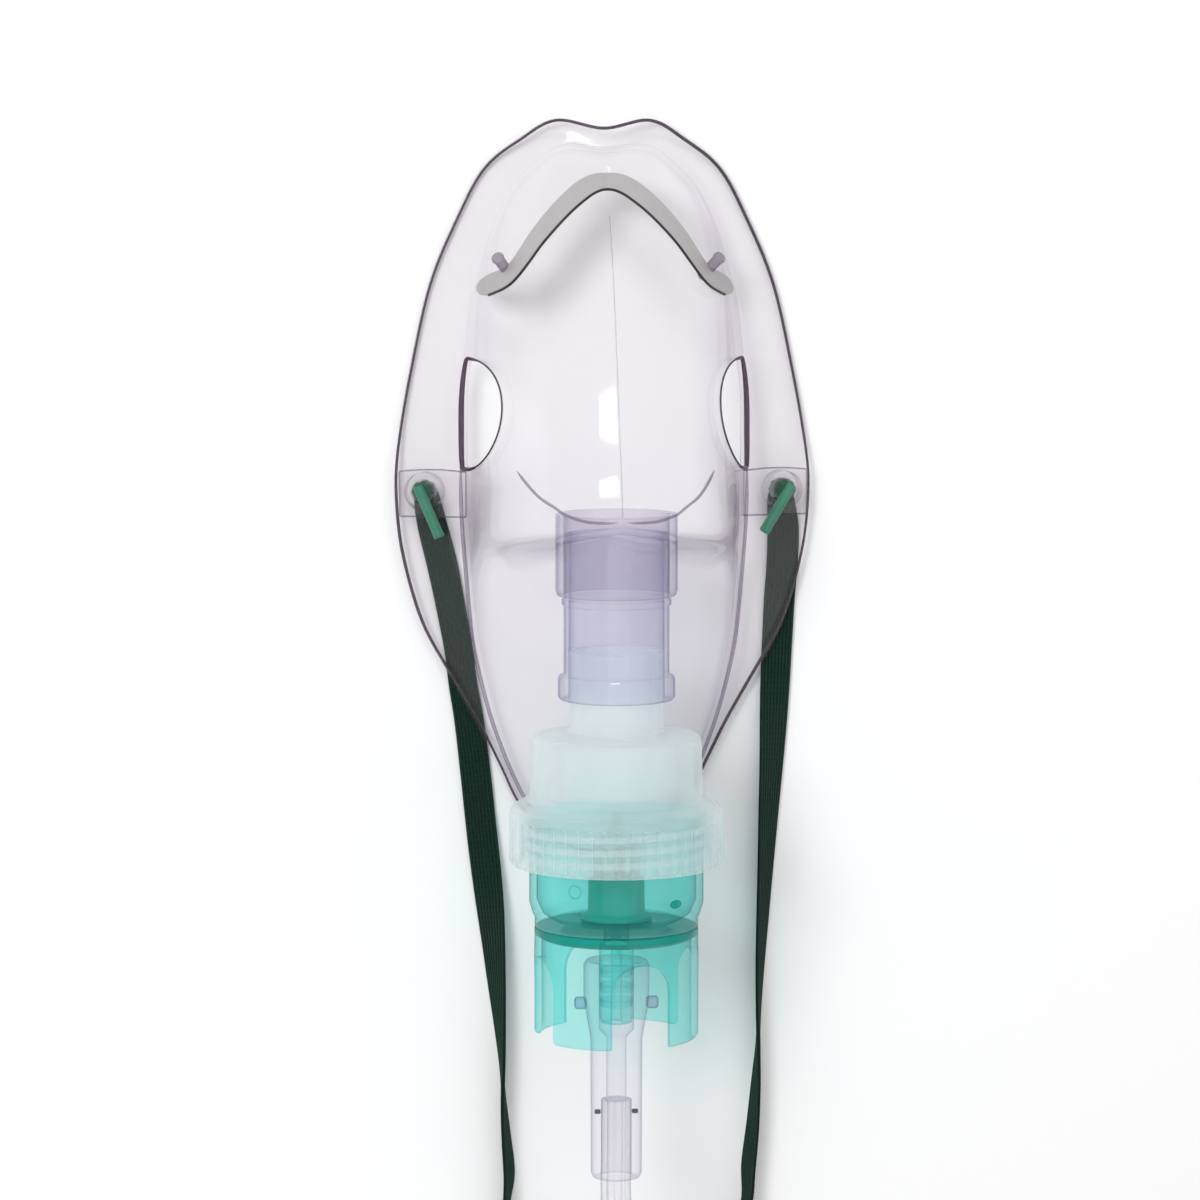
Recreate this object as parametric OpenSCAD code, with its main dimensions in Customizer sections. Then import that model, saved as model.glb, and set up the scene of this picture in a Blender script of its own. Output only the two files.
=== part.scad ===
// Aerosol face mask with a small-volume jet nebuliser, its head strap and its oxygen tube.
// The mask lies on its rim with the dome up. +X is to the wearer's left, +Y towards the nose, +Z up.
// The nebuliser hangs from the port on one straight axis that runs along -Y.

/* [Mask] */
// Wall of the moulded mask
shell_t = 1.4; // [1.0:0.1:1.8]
// Height of the nebuliser's axis above the rim
axis_z = 38; // [37:0.5:39]
// Height of each side vent along the wall
vent_h = 19; // [14:1:20]
// Length of each side vent
vent_l = 23; // [18:1:24]

/* [Port and adapter] */
// Outside diameter of the moulded socket
socket_od = 25.4; // [25:0.2:27]
// Outside diameter of the 22 mm adapter
adapter_od = 22; // [22:0.1:22]
// Outside diameter of the adapter's end ring
adapter_ring_od = 24.4; // [23.5:0.1:25]

/* [Nebuliser] */
// Outside diameter of the cap's neck
neck_od = 19.7; // [19:0.1:19.7]
// Outside diameter of the cap below its neck
cap_od = 35.4; // [35:0.1:36]
// Outside diameter of the screw collar
collar_od = 44.8; // [44:0.2:46]
// Pitch of the jar's screw thread
thread_pitch = 2.7; // [2.6:0.05:2.8]
// Outside diameter of the jar's cup
jar_od = 36.4; // [36:0.1:36.4]
// Outside diameter of the jar's skirt
skirt_od = 34.2; // [33.6:0.1:34.6]
// Width of each arch between the skirt's legs
arch_w = 12.6; // [10:0.2:14]

/* [Tubing] */
// Outside diameter of the oxygen tube
tube_od = 6.4; // [6:0.1:6.4]
// Inside diameter of the oxygen tube
tube_id = 4.2; // [3.8:0.1:4.4]

/* [Strap] */
// Width of the elastic strap
strap_w = 7; // [6:0.5:8]
// Thickness of the elastic strap
strap_t = 1; // [0.8:0.1:1.2]
// Diameter of each crimped toggle rod
toggle_d = 2.4; // [2:0.1:2.6]

/* [Nose clip] */
// Width of the metal strip
clip_w = 4.6; // [4:0.1:5]
// Thickness of the metal strip
clip_t = 0.55; // [0.4:0.05:0.6]

/* [Hidden] */
$fn = 64;
// Turns of the mask's cutters about their own axes, which keep their facets off the mask's
cut_turn = [4.8, 2.3, 20.9, -0.12];
// The whole part is moved along Y so that its base stands centred on the origin.
shift_y = 26.4;

// Half of the mask's outline, from the middle of the nose to the middle of the chin. Each row is
// rim x y z, crease x y z, ridge y z, and the wall's two curve handles.
ROWS = [
  [ 0, 101.5, 4.6,   0,   96.4, 6.0,  91.5, 10.2, .15, .45, .50],
  [10, 103.2, 2.6,   8.6, 97.0, 5.2,  91.0, 10.6, .15, .50, .50],
  [17.5, 99.2, 1.0, 14.6, 93.4, 4.4,  89.5, 12.0, .18, .60, .52],
  [25.2, 93.0, 0.0, 19.8, 87.8, 4.0,  86.0, 15.5, .22, .66, .54],
  [31.0, 82.5, 0.0, 23.8, 79.2, 4.0,  79.0, 21.6, .26, .70, .56],
  [37.0, 68.0, 0.0, 27.2, 66.6, 4.4,  67.5, 30.0, .30, .70, .56],
  [41.3, 49.0, 0.0, 29.2, 48.6, 5.2,  49.5, 39.5, .32, .70, .54],
  [43.6, 36.0, 0.6, 29.5, 36.0, 5.4,  37.5, 45.0, .30, .72, .50],
  [44.5, 28.0, 1.6, 29.5, 28.5, 5.6,  29.0, 49.4, .26, .72, .46],
  [44.4, 21.0, 1.9, 29.4, 22.0, 5.6,  23.2, 51.6, .22, .72, .44],
  [43.8, 14.5, 1.9, 29.2, 16.5, 5.6,  20.0, 50.4, .16, .62, .40],
  [42.8,  9.0, 1.9, 28.9, 11.0, 5.6,  17.8, 34.0, .12, .58, .36],
  [41.3,  3.0, 1.8, 28.5,  4.5, 5.6,  15.0, 22.6, .10, .60, .34],
  [39.4, -3.0, 1.7, 27.9, -2.5, 5.5,   6.0, 20.2, .10, .62, .36],
  [36.9, -8.5, 1.6, 27.1, -9.0, 5.4,  -3.5, 18.2, .10, .64, .38],
  [31.4,-18.0, 1.6, 25.0,-18.5, 5.2, -13.5, 16.1, .12, .66, .40],
  [26.6,-26.5, 1.7, 22.4,-27.2, 4.9, -23.0, 14.2, .12, .66, .42],
  [22.2,-35.5, 1.6, 19.0,-36.0, 4.5, -31.5, 12.6, .14, .64, .44],
  [17.8,-44.5, 1.0, 15.0,-43.6, 4.0, -37.5, 11.4, .16, .60, .46],
  [10.6,-52.0, 0.1,  8.8,-49.2, 3.6, -41.5, 10.2, .18, .56, .48],
  [ 0.0,-55.0, 0.0,  0.0,-51.6, 3.5, -43.5,  9.6, .20, .54, .50]
];
NR = len(ROWS) - 1;
SUB = 3;             // steps between two rows
COLS = 2 * NR * SUB; // columns round the whole outline
FL = 2;              // steps across the flange
WL = 9;              // steps up the wall
NU = FL + WL;

function flip(r) = [-r[0], r[1], r[2], -r[3], r[4], r[5], r[6], r[7], r[8], r[9], r[10]];
function row(i) = i < 0 ? flip(ROWS[-i]) : i > NR ? flip(ROWS[2 * NR - i]) : ROWS[i];
function knot(a, b, c, d, t) = 0.5 * (2 * b + (c - a) * t + (2 * a - 5 * b + 4 * c - d) * t * t + (3 * b - a - 3 * c + d) * t * t * t);
function section(s) = let (i = min(floor(s), NR - 1)) knot(row(i - 1), row(i), row(i + 1), row(i + 2), s - i);
// A point of the mask's inner surface: s runs from nose to chin, u from the rim (0) over the crease (1) to the ridge (2).
function inner(s, u) =
  let (r = section(s), c = [r[3], r[4], r[5]], e = [0, r[6], r[7]])
  u <= 1 ? [r[0], r[1], max(r[2], 0)] * (1 - u) + c * u + [0, 0, -0.8 * u * (1 - u)]
         : let (v = u - 1, w = 1 - v,
                p = [c[0] + (e[0] - c[0]) * r[8], c[1] + (e[1] - c[1]) * r[8], c[2] + (e[2] - c[2]) * r[9]],
                q = [c[0] + (e[0] - c[0]) * r[10], c[1] + (e[1] - c[1]) * r[10], e[2]])
           w * w * w * c + 3 * w * w * v * p + 3 * w * v * v * q + v * v * v * e;
function unit(v) = v / max(norm(v), 1e-9);
function facing(s, u) =
  let (a = max(s - 0.04, 0), b = min(s + 0.04, NR), c = max(u - 0.03, 0), d = min(u + 0.03, 2),
       n = cross(inner(b, u) - inner(a, u), inner(s, d) - inner(s, c)))
  let (m = n[2] < 0 ? -n : n, f = [0, m[1], m[2]])
  s <= 0.001 || s >= NR - 0.001 || u >= 1.999 ? (norm(f) < 0.000001 ? unit([0, s < 1 ? 0.3 : -0.1, 1]) : unit(f)) : unit(m);
function outer(s, u, h) = inner(s, u) + h * facing(s, u);
function side(p, k) = k > NR * SUB ? [-p[0], p[1], p[2]] : p;
function col_s(k) = (k > NR * SUB ? COLS - k : k) / SUB;
function row_u(j) = j <= FL ? j / FL : 1 + (j - FL) / WL;
// Both skins' points: the ridge's points are shared between the two sides.
function vid(k, j) = let (m = k % COLS) j < NU ? m * NU + j : COLS * NU + (m > NR * SUB ? COLS - m : m);
SKIN = COLS * NU + NR * SUB + 1;

module skin_solid() {
  inside = concat([for (k = [0:COLS - 1]) for (j = [0:NU - 1]) side(inner(col_s(k), row_u(j)), k)],
                  [for (k = [0:NR * SUB]) inner(k / SUB, 2)]);
  outside = concat([for (k = [0:COLS - 1]) for (j = [0:NU - 1]) side(outer(col_s(k), row_u(j), shell_t), k)],
                   [for (k = [0:NR * SUB]) outer(k / SUB, 2, shell_t)]);
  top = [for (k = [0:COLS - 1]) for (j = [0:NU - 1]) for (f = [[vid(k, j), vid(k + 1, j), vid(k + 1, j + 1)], [vid(k, j), vid(k + 1, j + 1), vid(k, j + 1)]])
         if (f[0] != f[1] && f[1] != f[2] && f[0] != f[2]) f];
  rim = [for (k = [0:COLS - 1]) for (f = [[vid(k, 0), vid(k + 1, 0), vid(k + 1, 0) + SKIN], [vid(k, 0), vid(k + 1, 0) + SKIN, vid(k, 0) + SKIN]]) f];
  polyhedron(points = concat(inside, outside),
             faces = concat(top, [for (f = top) [f[2] + SKIN, f[1] + SKIN, f[0] + SKIN]], [for (f = rim) [f[2], f[1], f[0]]]), convexity = 6);
}

module place() { translate([0, shift_y, 0]) children(); }
// Turns a shape made along +Z into one along the nebuliser's axis: its z is the distance towards the chin.
module along() { place() translate([0, 0, axis_z]) rotate([90, 0, 0]) children(); }

// D-shaped vent, straight on its lower side
module vent_cut() {
  translate([26.0, 41 + cut_turn[3], 17]) rotate([0, 68, 0]) rotate([0, 0, 90])
    translate([0, 0, -12]) linear_extrude(24) offset(r = 4, $fn = 24) intersection() {
      translate([0, -2.5]) scale([vent_l - 8, 2 * vent_h - 20]) circle(d = 1, $fn = 26);
      translate([-20, -vent_h / 2 + 4]) square([40, 40]);
    }
}

module mask_shell() {
  color([0.91, 0.90, 0.93, 0.45]) place() resize([0, 0, 0]) difference() {
    skin_solid();
    vent_cut();
    mirror([1, 0, 0]) vent_cut();
    translate([0, 23.5, axis_z]) rotate([90, 0, 0]) rotate([0, 0, cut_turn[0]]) cylinder(r = socket_od / 2 + 0.05, h = 14, $fn = 64);
    for (m = [0, 1]) mirror([m, 0, 0]) at_tab() translate([0, 0, -4]) rotate([0, 0, cut_turn[1]]) cylinder(r = 4.2, h = 8, $fn = 28);
    for (m = [0, 1]) mirror([m, 0, 0]) translate([stud_p[0], stud_p[1], 0]) rotate([0, 0, cut_turn[2]]) cylinder(r = 1.15, h = 30, $fn = 14);
  }
}

module port_socket() {
  color([0.78, 0.76, 0.84, 0.6]) along() rotate_extrude()
    polygon([[11.05, -22], [11.05, -5], [11.05, -5], [socket_od / 2 - 0.5, -5], [socket_od / 2 - 0.1, -5.4], [socket_od / 2, -8], [socket_od / 2, -22]]);
}

// Strap tabs: a thick raised pad on the flange with a ringed eyelet
tab_p = [38.4, 24.2, 4.3];
tab_tilt = 15;
module at_tab() { translate(tab_p) rotate([0, tab_tilt, 0]) children(); }
module strap_tab() {
  difference() {
    union() {
      cylinder(r = 4, h = 2.6);
      intersection() {
        translate([-9.4, -5.4, 0.2]) cube([14.6, 10.8, 1.7]);
        translate([-6, 0, -1]) cylinder(r = 11.2, h = 5);
      }
      translate([0, 0, -1.5]) cylinder(r = 4, h = 2);
    }
    translate([0, 0, -3]) cylinder(r = 2.45, h = 8);
  }
}
module left_strap_tab() { color([0.86, 0.85, 0.89, 0.6]) place() at_tab() strap_tab(); }
module right_strap_tab() { color([0.86, 0.85, 0.89, 0.6]) place() mirror([1, 0, 0]) at_tab() strap_tab(); }

// Toggle: a crimped end that passes the eyelet, with a rod across it
module toggle(turn) {
  union() {
    translate([0, 0, -1.6]) cylinder(r = 2.4, h = 5.1);
    translate([0, 0, 4.3]) rotate([0, 0, turn]) rotate([92, 0, 0]) translate([0, 0, -1.5]) cylinder(d = toggle_d, h = 12);
  }
}
module left_strap_toggle() { color([0.18, 0.45, 0.33]) place() at_tab() toggle(-32); }
module right_strap_toggle() { color([0.18, 0.45, 0.33]) place() mirror([1, 0, 0]) at_tab() toggle(-23); }

// Nose clip: a strip that follows the mask's outside, from one foot over the nose to the other
CLIP = [[4.95, 1.06], [4.88, 1.18], [4.76, 1.30], [4.5, 1.39], [4.15, 1.475], [3.7, 1.59], [3.15, 1.72], [2.65, 1.83], [2.32, 1.92], [2.2, 2.0]];
NC = len(CLIP) - 1;
stud_p = [23.4, 71];
function clip_su(i) = CLIP[max(0, min(NC, i))];
function clip_at(t) = let (i = min(floor(t), NC - 1)) knot(clip_su(i - 1), clip_su(i), clip_su(i + 1), i + 2 > NC ? 2 * clip_su(NC) - clip_su(NC - 1) : clip_su(i + 2), t - i);
function clip_mid(t) = let (q = clip_at(t)) outer(max(q[0], 0), min(q[1], 2), shell_t + 0.15);
function clip_up(t) = let (q = clip_at(t)) facing(max(q[0], 0), min(q[1], 2));
function clip_way(t) = let (a = max(t - 0.15, 0), b = min(t + 0.15, NC)) unit(clip_mid(b) - clip_mid(a));
function clip_ring(t) = let (p = clip_mid(t), n = clip_up(t), w = t > NC - 0.01 ? [0, -1, 0] : unit(cross(n, clip_way(t))), w2 = t > NC - 0.01 ? unit([0, -n[2], n[1]]) : w)
  [p - w2 * clip_w / 2, p + w2 * clip_w / 2, p + w2 * clip_w / 2 + n * clip_t, p - w2 * clip_w / 2 + n * clip_t];
CS = 4;
module nose_clip() {
  half = [for (k = [0:NC * CS]) clip_ring(k / CS)];
  rest = [for (k = [NC * CS - 1:-1:0]) [for (p = half[k]) [-p[0], p[1], p[2]]]];
  rings = concat(half, rest);
  color([0.78, 0.77, 0.78]) place() band(rings);
}
// A closed band with four corners at each ring
module band(rings) {
  n = len(rings);
  m = len(rings[0]);
  polyhedron(points = [for (r = rings) for (p = r) p],
    faces = concat([[for (i = [0:m - 1]) i]], [[for (i = [m - 1:-1:0]) (n - 1) * m + i]],
      [for (k = [0:n - 2]) for (i = [0:m - 1]) for (f = [[k * m + i, (k + 1) * m + i, (k + 1) * m + (i + 1) % m], [k * m + i, (k + 1) * m + (i + 1) % m, k * m + (i + 1) % m]]) f]), convexity = 6);
}
module clip_studs() {
  color([0.86, 0.85, 0.89, 0.6]) place() for (m = [0, 1]) mirror([m, 0, 0]) translate([stud_p[0], stud_p[1], 0])
    translate([0, 0, 9.5]) cylinder(r = 1.05, h = 7.5);
}

// Elastic strap: flat beside the mask, turning on edge towards the back of its loop.
// Each row is x, y, the height of its lower edge, and the roll from flat (0) to on edge (90).
STRAP = [[37.6, 24, 0.85, 0], [37.2, 12, 0.2, 0], [36.2, 0, 0, 0], [34.6, -12, 0, 0], [32.6, -24, 0, 0], [30.6, -40, 0, 0], [29, -60, 0, 16],
         [26.8, -80, 0, 45], [25, -95, 0, 74], [24.6, -104, 0, 90], [25.2, -114, 0, 90], [27, -126, 0, 90], [28.4, -134, 0, 90],
         [26.8, -143, 0, 90], [21.6, -150.4, 0, 90], [12, -154.6, 0, 90], [0, -155.8, 0, 90]];
NS = len(STRAP) - 1;
function strap_row(i) = i < 0 ? 2 * STRAP[0] - STRAP[1] : i > 2 * NS ? strap_flip(2 * STRAP[0] - STRAP[1]) : i > NS ? strap_flip(STRAP[2 * NS - i]) : STRAP[i];
function strap_flip(r) = [-r[0], r[1], r[2], r[3]];
function strap_at(t) = let (i = min(floor(t), 2 * NS - 1)) knot(strap_row(i - 1), strap_row(i), strap_row(i + 1), strap_row(i + 2), t - i);
function strap_ring(t) =
  let (r = strap_at(t), a = strap_at(max(t - 0.1, 0)), b = strap_at(min(t + 0.1, 2 * NS)),
       g = unit([b[0] - a[0], b[1] - a[1], 0]), across = [-g[1], g[0], 0],
       w = across * cos(r[3]) + [0, 0, sin(r[3])], h = cross(g, w), p = [r[0], r[1], max(r[2], 0) + (strap_w * abs(w[2]) + strap_t * abs(h[2])) / 2])
  [p - w * strap_w / 2 - h * strap_t / 2, p - w * strap_w / 2 + h * strap_t / 2, p + w * strap_w / 2 + h * strap_t / 2, p + w * strap_w / 2 - h * strap_t / 2];
module elastic_strap() {
  color([0.08, 0.24, 0.17]) place() band([for (k = [0:NS * 6]) strap_ring(k / 3)]);
}

// Adapter with its step ring and end ring
module port_adapter() {
  a = adapter_od / 2;
  color([0.76, 0.75, 0.84, 0.6]) along() rotate_extrude()
    polygon([[neck_od / 2 + 0.05, -18], [a - 0.6, -18], [a, -17], [a, -4.4], [a + 0.35, -4.2], [a + 0.35, -3.2], [a, -3.0], [a, 11.4],
             [adapter_ring_od / 2 - 0.2, 11.7], [adapter_ring_od / 2, 12.2], [adapter_ring_od / 2, 16.0], [adapter_ring_od / 2 - 0.5, 16.7], [neck_od / 2 + 0.05, 16.7]]);
}

// Cap: neck with its chimney inside, drum, shoulder and knurled collar, in one moulding
module nebulizer_cap() {
  n = neck_od / 2;
  c = cap_od / 2;
  k = collar_od / 2;
  color([0.86, 0.93, 0.95, 0.8]) along() difference() {
    rotate_extrude()
      polygon([[n - 1.5, 6.4], [n, 6.4], [n, 24], [c - 1.2, 24], [c - 0.3, 24.6], [c, 25.6], [c + 0.3, 36.6], [c + 1.4, 37.8], [k - 1.2, 38.8],
               [k - 0.4, 39.6], [k, 41], [k, 49.6], [k - 0.7, 51.2], [20.3, 51.2], [20.0, 50.6], [20.0, 41.4], [18.6, 40.6], [c - 1.6, 38.4], [c - 1.6, 25.8], [n, 25.6],
               [n, 37], [n - 1.5, 37]]);
    for (i = [0:47]) rotate([0, 0, i * 7.5]) translate([k + 0.35, 0, 41.6]) cylinder(r = 0.75, h = 8, $fn = 16);
  }
}
// A helical ridge of trapezoid section between two radii
function helix_ring(r0, r1, base, tip, z, a) = [[r0 * cos(a), r0 * sin(a), z - base / 2], [r1 * cos(a), r1 * sin(a), z - tip / 2], [r1 * cos(a), r1 * sin(a), z + tip / 2], [r0 * cos(a), r0 * sin(a), z + base / 2]];
module helix(r0, r1, base, tip, z0, turns, a0) {
  n = round(turns * 30);
  rings = [for (i = [0:n]) let (f = min(1, 0.25 + min(i, n - i) / 5)) helix_ring(r0, r0 + (r1 - r0) * f, base, tip, z0 + i / 30 * thread_pitch, a0 + i * 12)];
  if (r1 > r0) band([for (r = rings) [r[3], r[2], r[1], r[0]]]); else band(rings);
}
module cap_thread() {
  color([0.86, 0.93, 0.95, 0.8]) along() helix(19.98, 18.95, 1.25, 0.7, 42.6, 2.6, 0);
}
// Ring of small ribs under the cap's top that breaks up large droplets
module cap_baffle_ring() {
  color([0.86, 0.93, 0.95, 0.8]) along() for (i = [0:3]) rotate([0, 0, 45 + 90 * i]) translate([neck_od / 2 + 0.02, -0.5, 25.9]) cube([6.0, 1, 8]);
}

// Insert: sleeve that stands on the jar's floor over the nozzle
module jet_insert() {
  color([0, 0.42, 0.36]) along() difference() {
    rotate_extrude() polygon([[3.9, 63.0], [7.4, 63.0], [7.4, 62.1], [5.9, 61.7], [5.8, 54.6], [5.2, 54.0], [2.6, 54.0], [2.6, 56.0], [3.9, 61.0]]);
    for (i = [0:3]) rotate([0, 0, 20 + 90 * i]) translate([3.6, -0.6, 61.9]) cube([5, 1.2, 3]);
  }
}
module insert_baffle() {
  color([0, 0.42, 0.36]) along() union() {
    translate([0, 0, 40.4]) cylinder(r1 = 0.7, r2 = 2.2, h = 5.6);
    translate([0, 0, 46]) cylinder(r = 4.6, h = 1.0);
    for (i = [0:3]) rotate([0, 0, 20 + 90 * i]) translate([3.1, -0.7, 46]) cube([1.9, 1.4, 8.0]);
  }
}

// Jar: cup with a thick floor
module nebulizer_jar() {
  j = jar_od / 2;
  s = skirt_od / 2;
  color([0.45, 0.87, 0.83, 0.6]) along() difference() {
    rotate_extrude() polygon([[0, 63.2], [13, 63.0], [s - 1.6, 61.4], [j - 1.5, 58.6], [j - 1.5, 40.5], [j, 40.5], [j, 59.4], [s + 0.3, 61.8], [s, 62.4], [s, 66], [s - 1.4, 66.6], [4, 68.2], [0, 68.2]]);
    translate([0, 0, 60]) cylinder(r = 2.6, h = 10);
  }
}
module jar_thread() {
  color([0.45, 0.87, 0.83, 0.6]) along() helix(jar_od / 2 + 0.02, 19.2, 1.1, 0.6, 41.25, 2.6, 0);
}
// Skirt: four legs between arches, below the floor
module jar_skirt() {
  s = skirt_od / 2;
  color([0.45, 0.87, 0.83, 0.6]) along() difference() {
    rotate_extrude() polygon([[s - 1.4, 66.62], [s, 66.02], [s + 0.1, 70], [s + 0.1, 87], [s - 0.4, 87.7], [s - 1.3, 87.7], [s - 1.4, 70]]);
    for (i = [0:1]) rotate([0, 0, 76 + 90 * i]) union() {
      translate([-25, -arch_w / 2, 70 + arch_w / 2]) cube([50, arch_w, 20]);
      translate([-25, 0, 70 + arch_w / 2]) rotate([0, 90, 0]) cylinder(d = arch_w, h = 50);
    }
  }
}
// Nozzle above the floor and inlet stem below it, one moulding with one gas way
module jar_nozzle() {
  color([0.45, 0.87, 0.83, 0.6]) along() difference() {
    rotate_extrude() polygon([[0, 49], [1.1, 49], [1.6, 50], [2.1, 56], [2.58, 60.02], [2.58, 68.25], [3.5, 68.25], [3.6, 69.5], [3.6, 83.6], [3.2, 85], [0, 85]]);
    translate([0, 0, 52]) cylinder(r = 1.1, h = 36);
    translate([0, 0, 47]) cylinder(r = 0.35, h = 10);
  }
}

// Connector: funnel mouth over the stem, plain sleeve round the tube's end
module tube_connector() {
  color([0.82, 0.81, 0.87, 0.6]) along() rotate_extrude()
    polygon([[3.66, 72.4], [6.4, 71.6], [6.9, 72.6], [6.9, 80], [6.6, 81.5], [5.6, 86.5], [5.3, 88], [5.0, 117], [4.6, 118], [3.2, 118], [3.2, 101.4], [2.1, 101.2], [2.1, 88], [3.66, 86.4]]);
}
module connector_lugs() {
  color([0.72, 0.70, 0.80, 0.6]) along() union() for (a = [0, 180]) rotate([0, 0, a]) translate([6.92, -1, 78]) cube([1.9, 2, 2.6]);
}

// Oxygen tube: route of its middle, from the connector's sleeve down to the coil
TUBE = [[0, -101.4, 38], [0, -112, 38], [0, -124, 38], [2, -140, 34], [8, -156, 25], [17, -172, 14.5], [27, -188, 6.5], [35.5, -204, 3.6]];
function tube_row(i) = i < 0 ? 2 * TUBE[0] - TUBE[1] : i > len(TUBE) - 1 ? 2 * TUBE[len(TUBE) - 1] - TUBE[len(TUBE) - 2] : TUBE[i];
function tube_at(t) = let (i = min(floor(t), len(TUBE) - 2)) knot(tube_row(i - 1), tube_row(i), tube_row(i + 1), tube_row(i + 2), t - i);
module oxygen_tube_run() {
  m = (len(TUBE) - 1) * 3;
  rings = [for (k = [0:m]) let (t = k / 3, p = tube_at(t), g = unit(tube_at(min(t + 0.1, m / 3)) - tube_at(max(t - 0.1, 0))), a = unit(cross(g, [1, 0, 0])), b = cross(g, a))
           [for (i = [0:9]) p + (a * cos(36 * i) + b * sin(36 * i)) * tube_od / 2]];
  color([0.88, 0.88, 0.90, 0.6]) place() band([for (r = rings) [for (i = [9:-1:0]) r[i]]]);
}
coil_r = 35;
coil_y = -236;
module oxygen_tube_coil() {
  color([0.88, 0.88, 0.90, 0.6]) place() translate([0, coil_y, 0]) rotate_extrude(convexity = 4)
    polygon([[coil_r - 9.6, 3], [coil_r - 6.6, 0], [coil_r + 6.6, 0], [coil_r + 9.6, 3], [coil_r + 9.6, 16.4], [coil_r + 6.6, 19.4], [coil_r - 6.6, 19.4], [coil_r - 9.6, 16.4]]);
}
// Connector on the tube's far end, lying on the coil
far_p = [6, -204, 24.6];
module far_connector() {
  color([0.82, 0.81, 0.87, 0.6]) place() translate(far_p) rotate([0, 90, 0]) rotate_extrude()
    polygon([[3.2, 0], [5.0, 0], [5.0, 16], [5.1, 26], [5.1, 38], [3.0, 38], [3.0, 26], [2.1, 25], [2.1, 12], [3.2, 11.8]]);
}

mask_shell();
port_socket();
left_strap_tab();
right_strap_tab();
nose_clip();
clip_studs();
elastic_strap();
left_strap_toggle();
right_strap_toggle();
port_adapter();
nebulizer_cap();
cap_thread();
cap_baffle_ring();
jet_insert();
insert_baffle();
nebulizer_jar();
jar_thread();
jar_skirt();
jar_nozzle();
tube_connector();
connector_lugs();
oxygen_tube_run();
oxygen_tube_coil();
far_connector();
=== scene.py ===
import bpy, bmesh, math
import numpy as np
from mathutils import Vector, Matrix


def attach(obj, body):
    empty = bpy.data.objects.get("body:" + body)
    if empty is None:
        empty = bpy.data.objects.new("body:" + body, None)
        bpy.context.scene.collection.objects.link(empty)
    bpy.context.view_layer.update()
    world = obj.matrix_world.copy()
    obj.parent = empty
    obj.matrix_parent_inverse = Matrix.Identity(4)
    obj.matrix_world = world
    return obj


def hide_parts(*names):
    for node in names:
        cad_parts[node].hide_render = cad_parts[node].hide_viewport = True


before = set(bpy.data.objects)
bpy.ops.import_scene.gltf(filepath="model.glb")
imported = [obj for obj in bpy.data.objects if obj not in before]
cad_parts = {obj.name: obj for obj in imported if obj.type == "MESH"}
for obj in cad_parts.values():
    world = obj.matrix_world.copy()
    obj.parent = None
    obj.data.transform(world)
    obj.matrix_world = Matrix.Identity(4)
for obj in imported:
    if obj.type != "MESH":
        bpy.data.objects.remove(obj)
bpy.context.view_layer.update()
SHIFT = 26.4      # the mask's own zero lies this far along +Y, in mm
AXIS = 38.0       # height of the nebuliser's axis
RNG = np.random.RandomState(7)


def P(x, y, z):
    """A point in the mask's own millimetres, in the row frame's metres."""
    return Vector((x / 1000.0, (y + SHIFT) / 1000.0, z / 1000.0))


# ------------------------------------------------------------------ camera
D_CAM, F_PX = 0.900, 4155.0
target = P(-0.43, 0.0, 0.0)
yaw, tilt = math.radians(4.5), math.radians(6.0)
away = Vector((-math.sin(yaw), math.sin(tilt), 0))
away.z = math.sqrt(1 - away.x ** 2 - away.y ** 2)
cam = bpy.data.objects.new("camera", bpy.data.cameras.new("camera"))
bpy.context.scene.collection.objects.link(cam)
cam.data.sensor_width = 36.0
cam.data.lens = F_PX / 1200.0 * 36.0
cam.data.clip_start, cam.data.clip_end = 0.01, 20.0
back = away.normalized()
right = Vector((0, 1, 0)).cross(back).normalized()
up = back.cross(right)
m = Matrix((right, up, back)).transposed().to_4x4()
m.translation = target + back * D_CAM
cam.matrix_world = m
bpy.context.scene.camera = cam


# ------------------------------------------------------------------ materials
def new_mat(name):
    mat = bpy.data.materials.new(name)
    mat.use_nodes = True
    nt = mat.node_tree
    nt.nodes.clear()
    out = nt.nodes.new("ShaderNodeOutputMaterial")
    return mat, nt, out


def N(nt, kind, **kw):
    n = nt.nodes.new(kind)
    for k, v in kw.items():
        setattr(n, k, v)
    return n


def noise_bump(nt, scale, strength, distance=0.0002, detail=3.0, stretch=(1, 1, 1)):
    co = N(nt, "ShaderNodeTexCoord")
    mp = N(nt, "ShaderNodeMapping")
    mp.inputs["Scale"].default_value = stretch
    nt.links.new(co.outputs["Object"], mp.inputs["Vector"])
    no = N(nt, "ShaderNodeTexNoise")
    no.inputs["Scale"].default_value = scale
    no.inputs["Detail"].default_value = detail
    nt.links.new(mp.outputs["Vector"], no.inputs["Vector"])
    bu = N(nt, "ShaderNodeBump")
    bu.inputs["Strength"].default_value = strength
    bu.inputs["Distance"].default_value = distance
    nt.links.new(no.outputs["Fac"], bu.inputs["Height"])
    return bu, no


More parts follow.
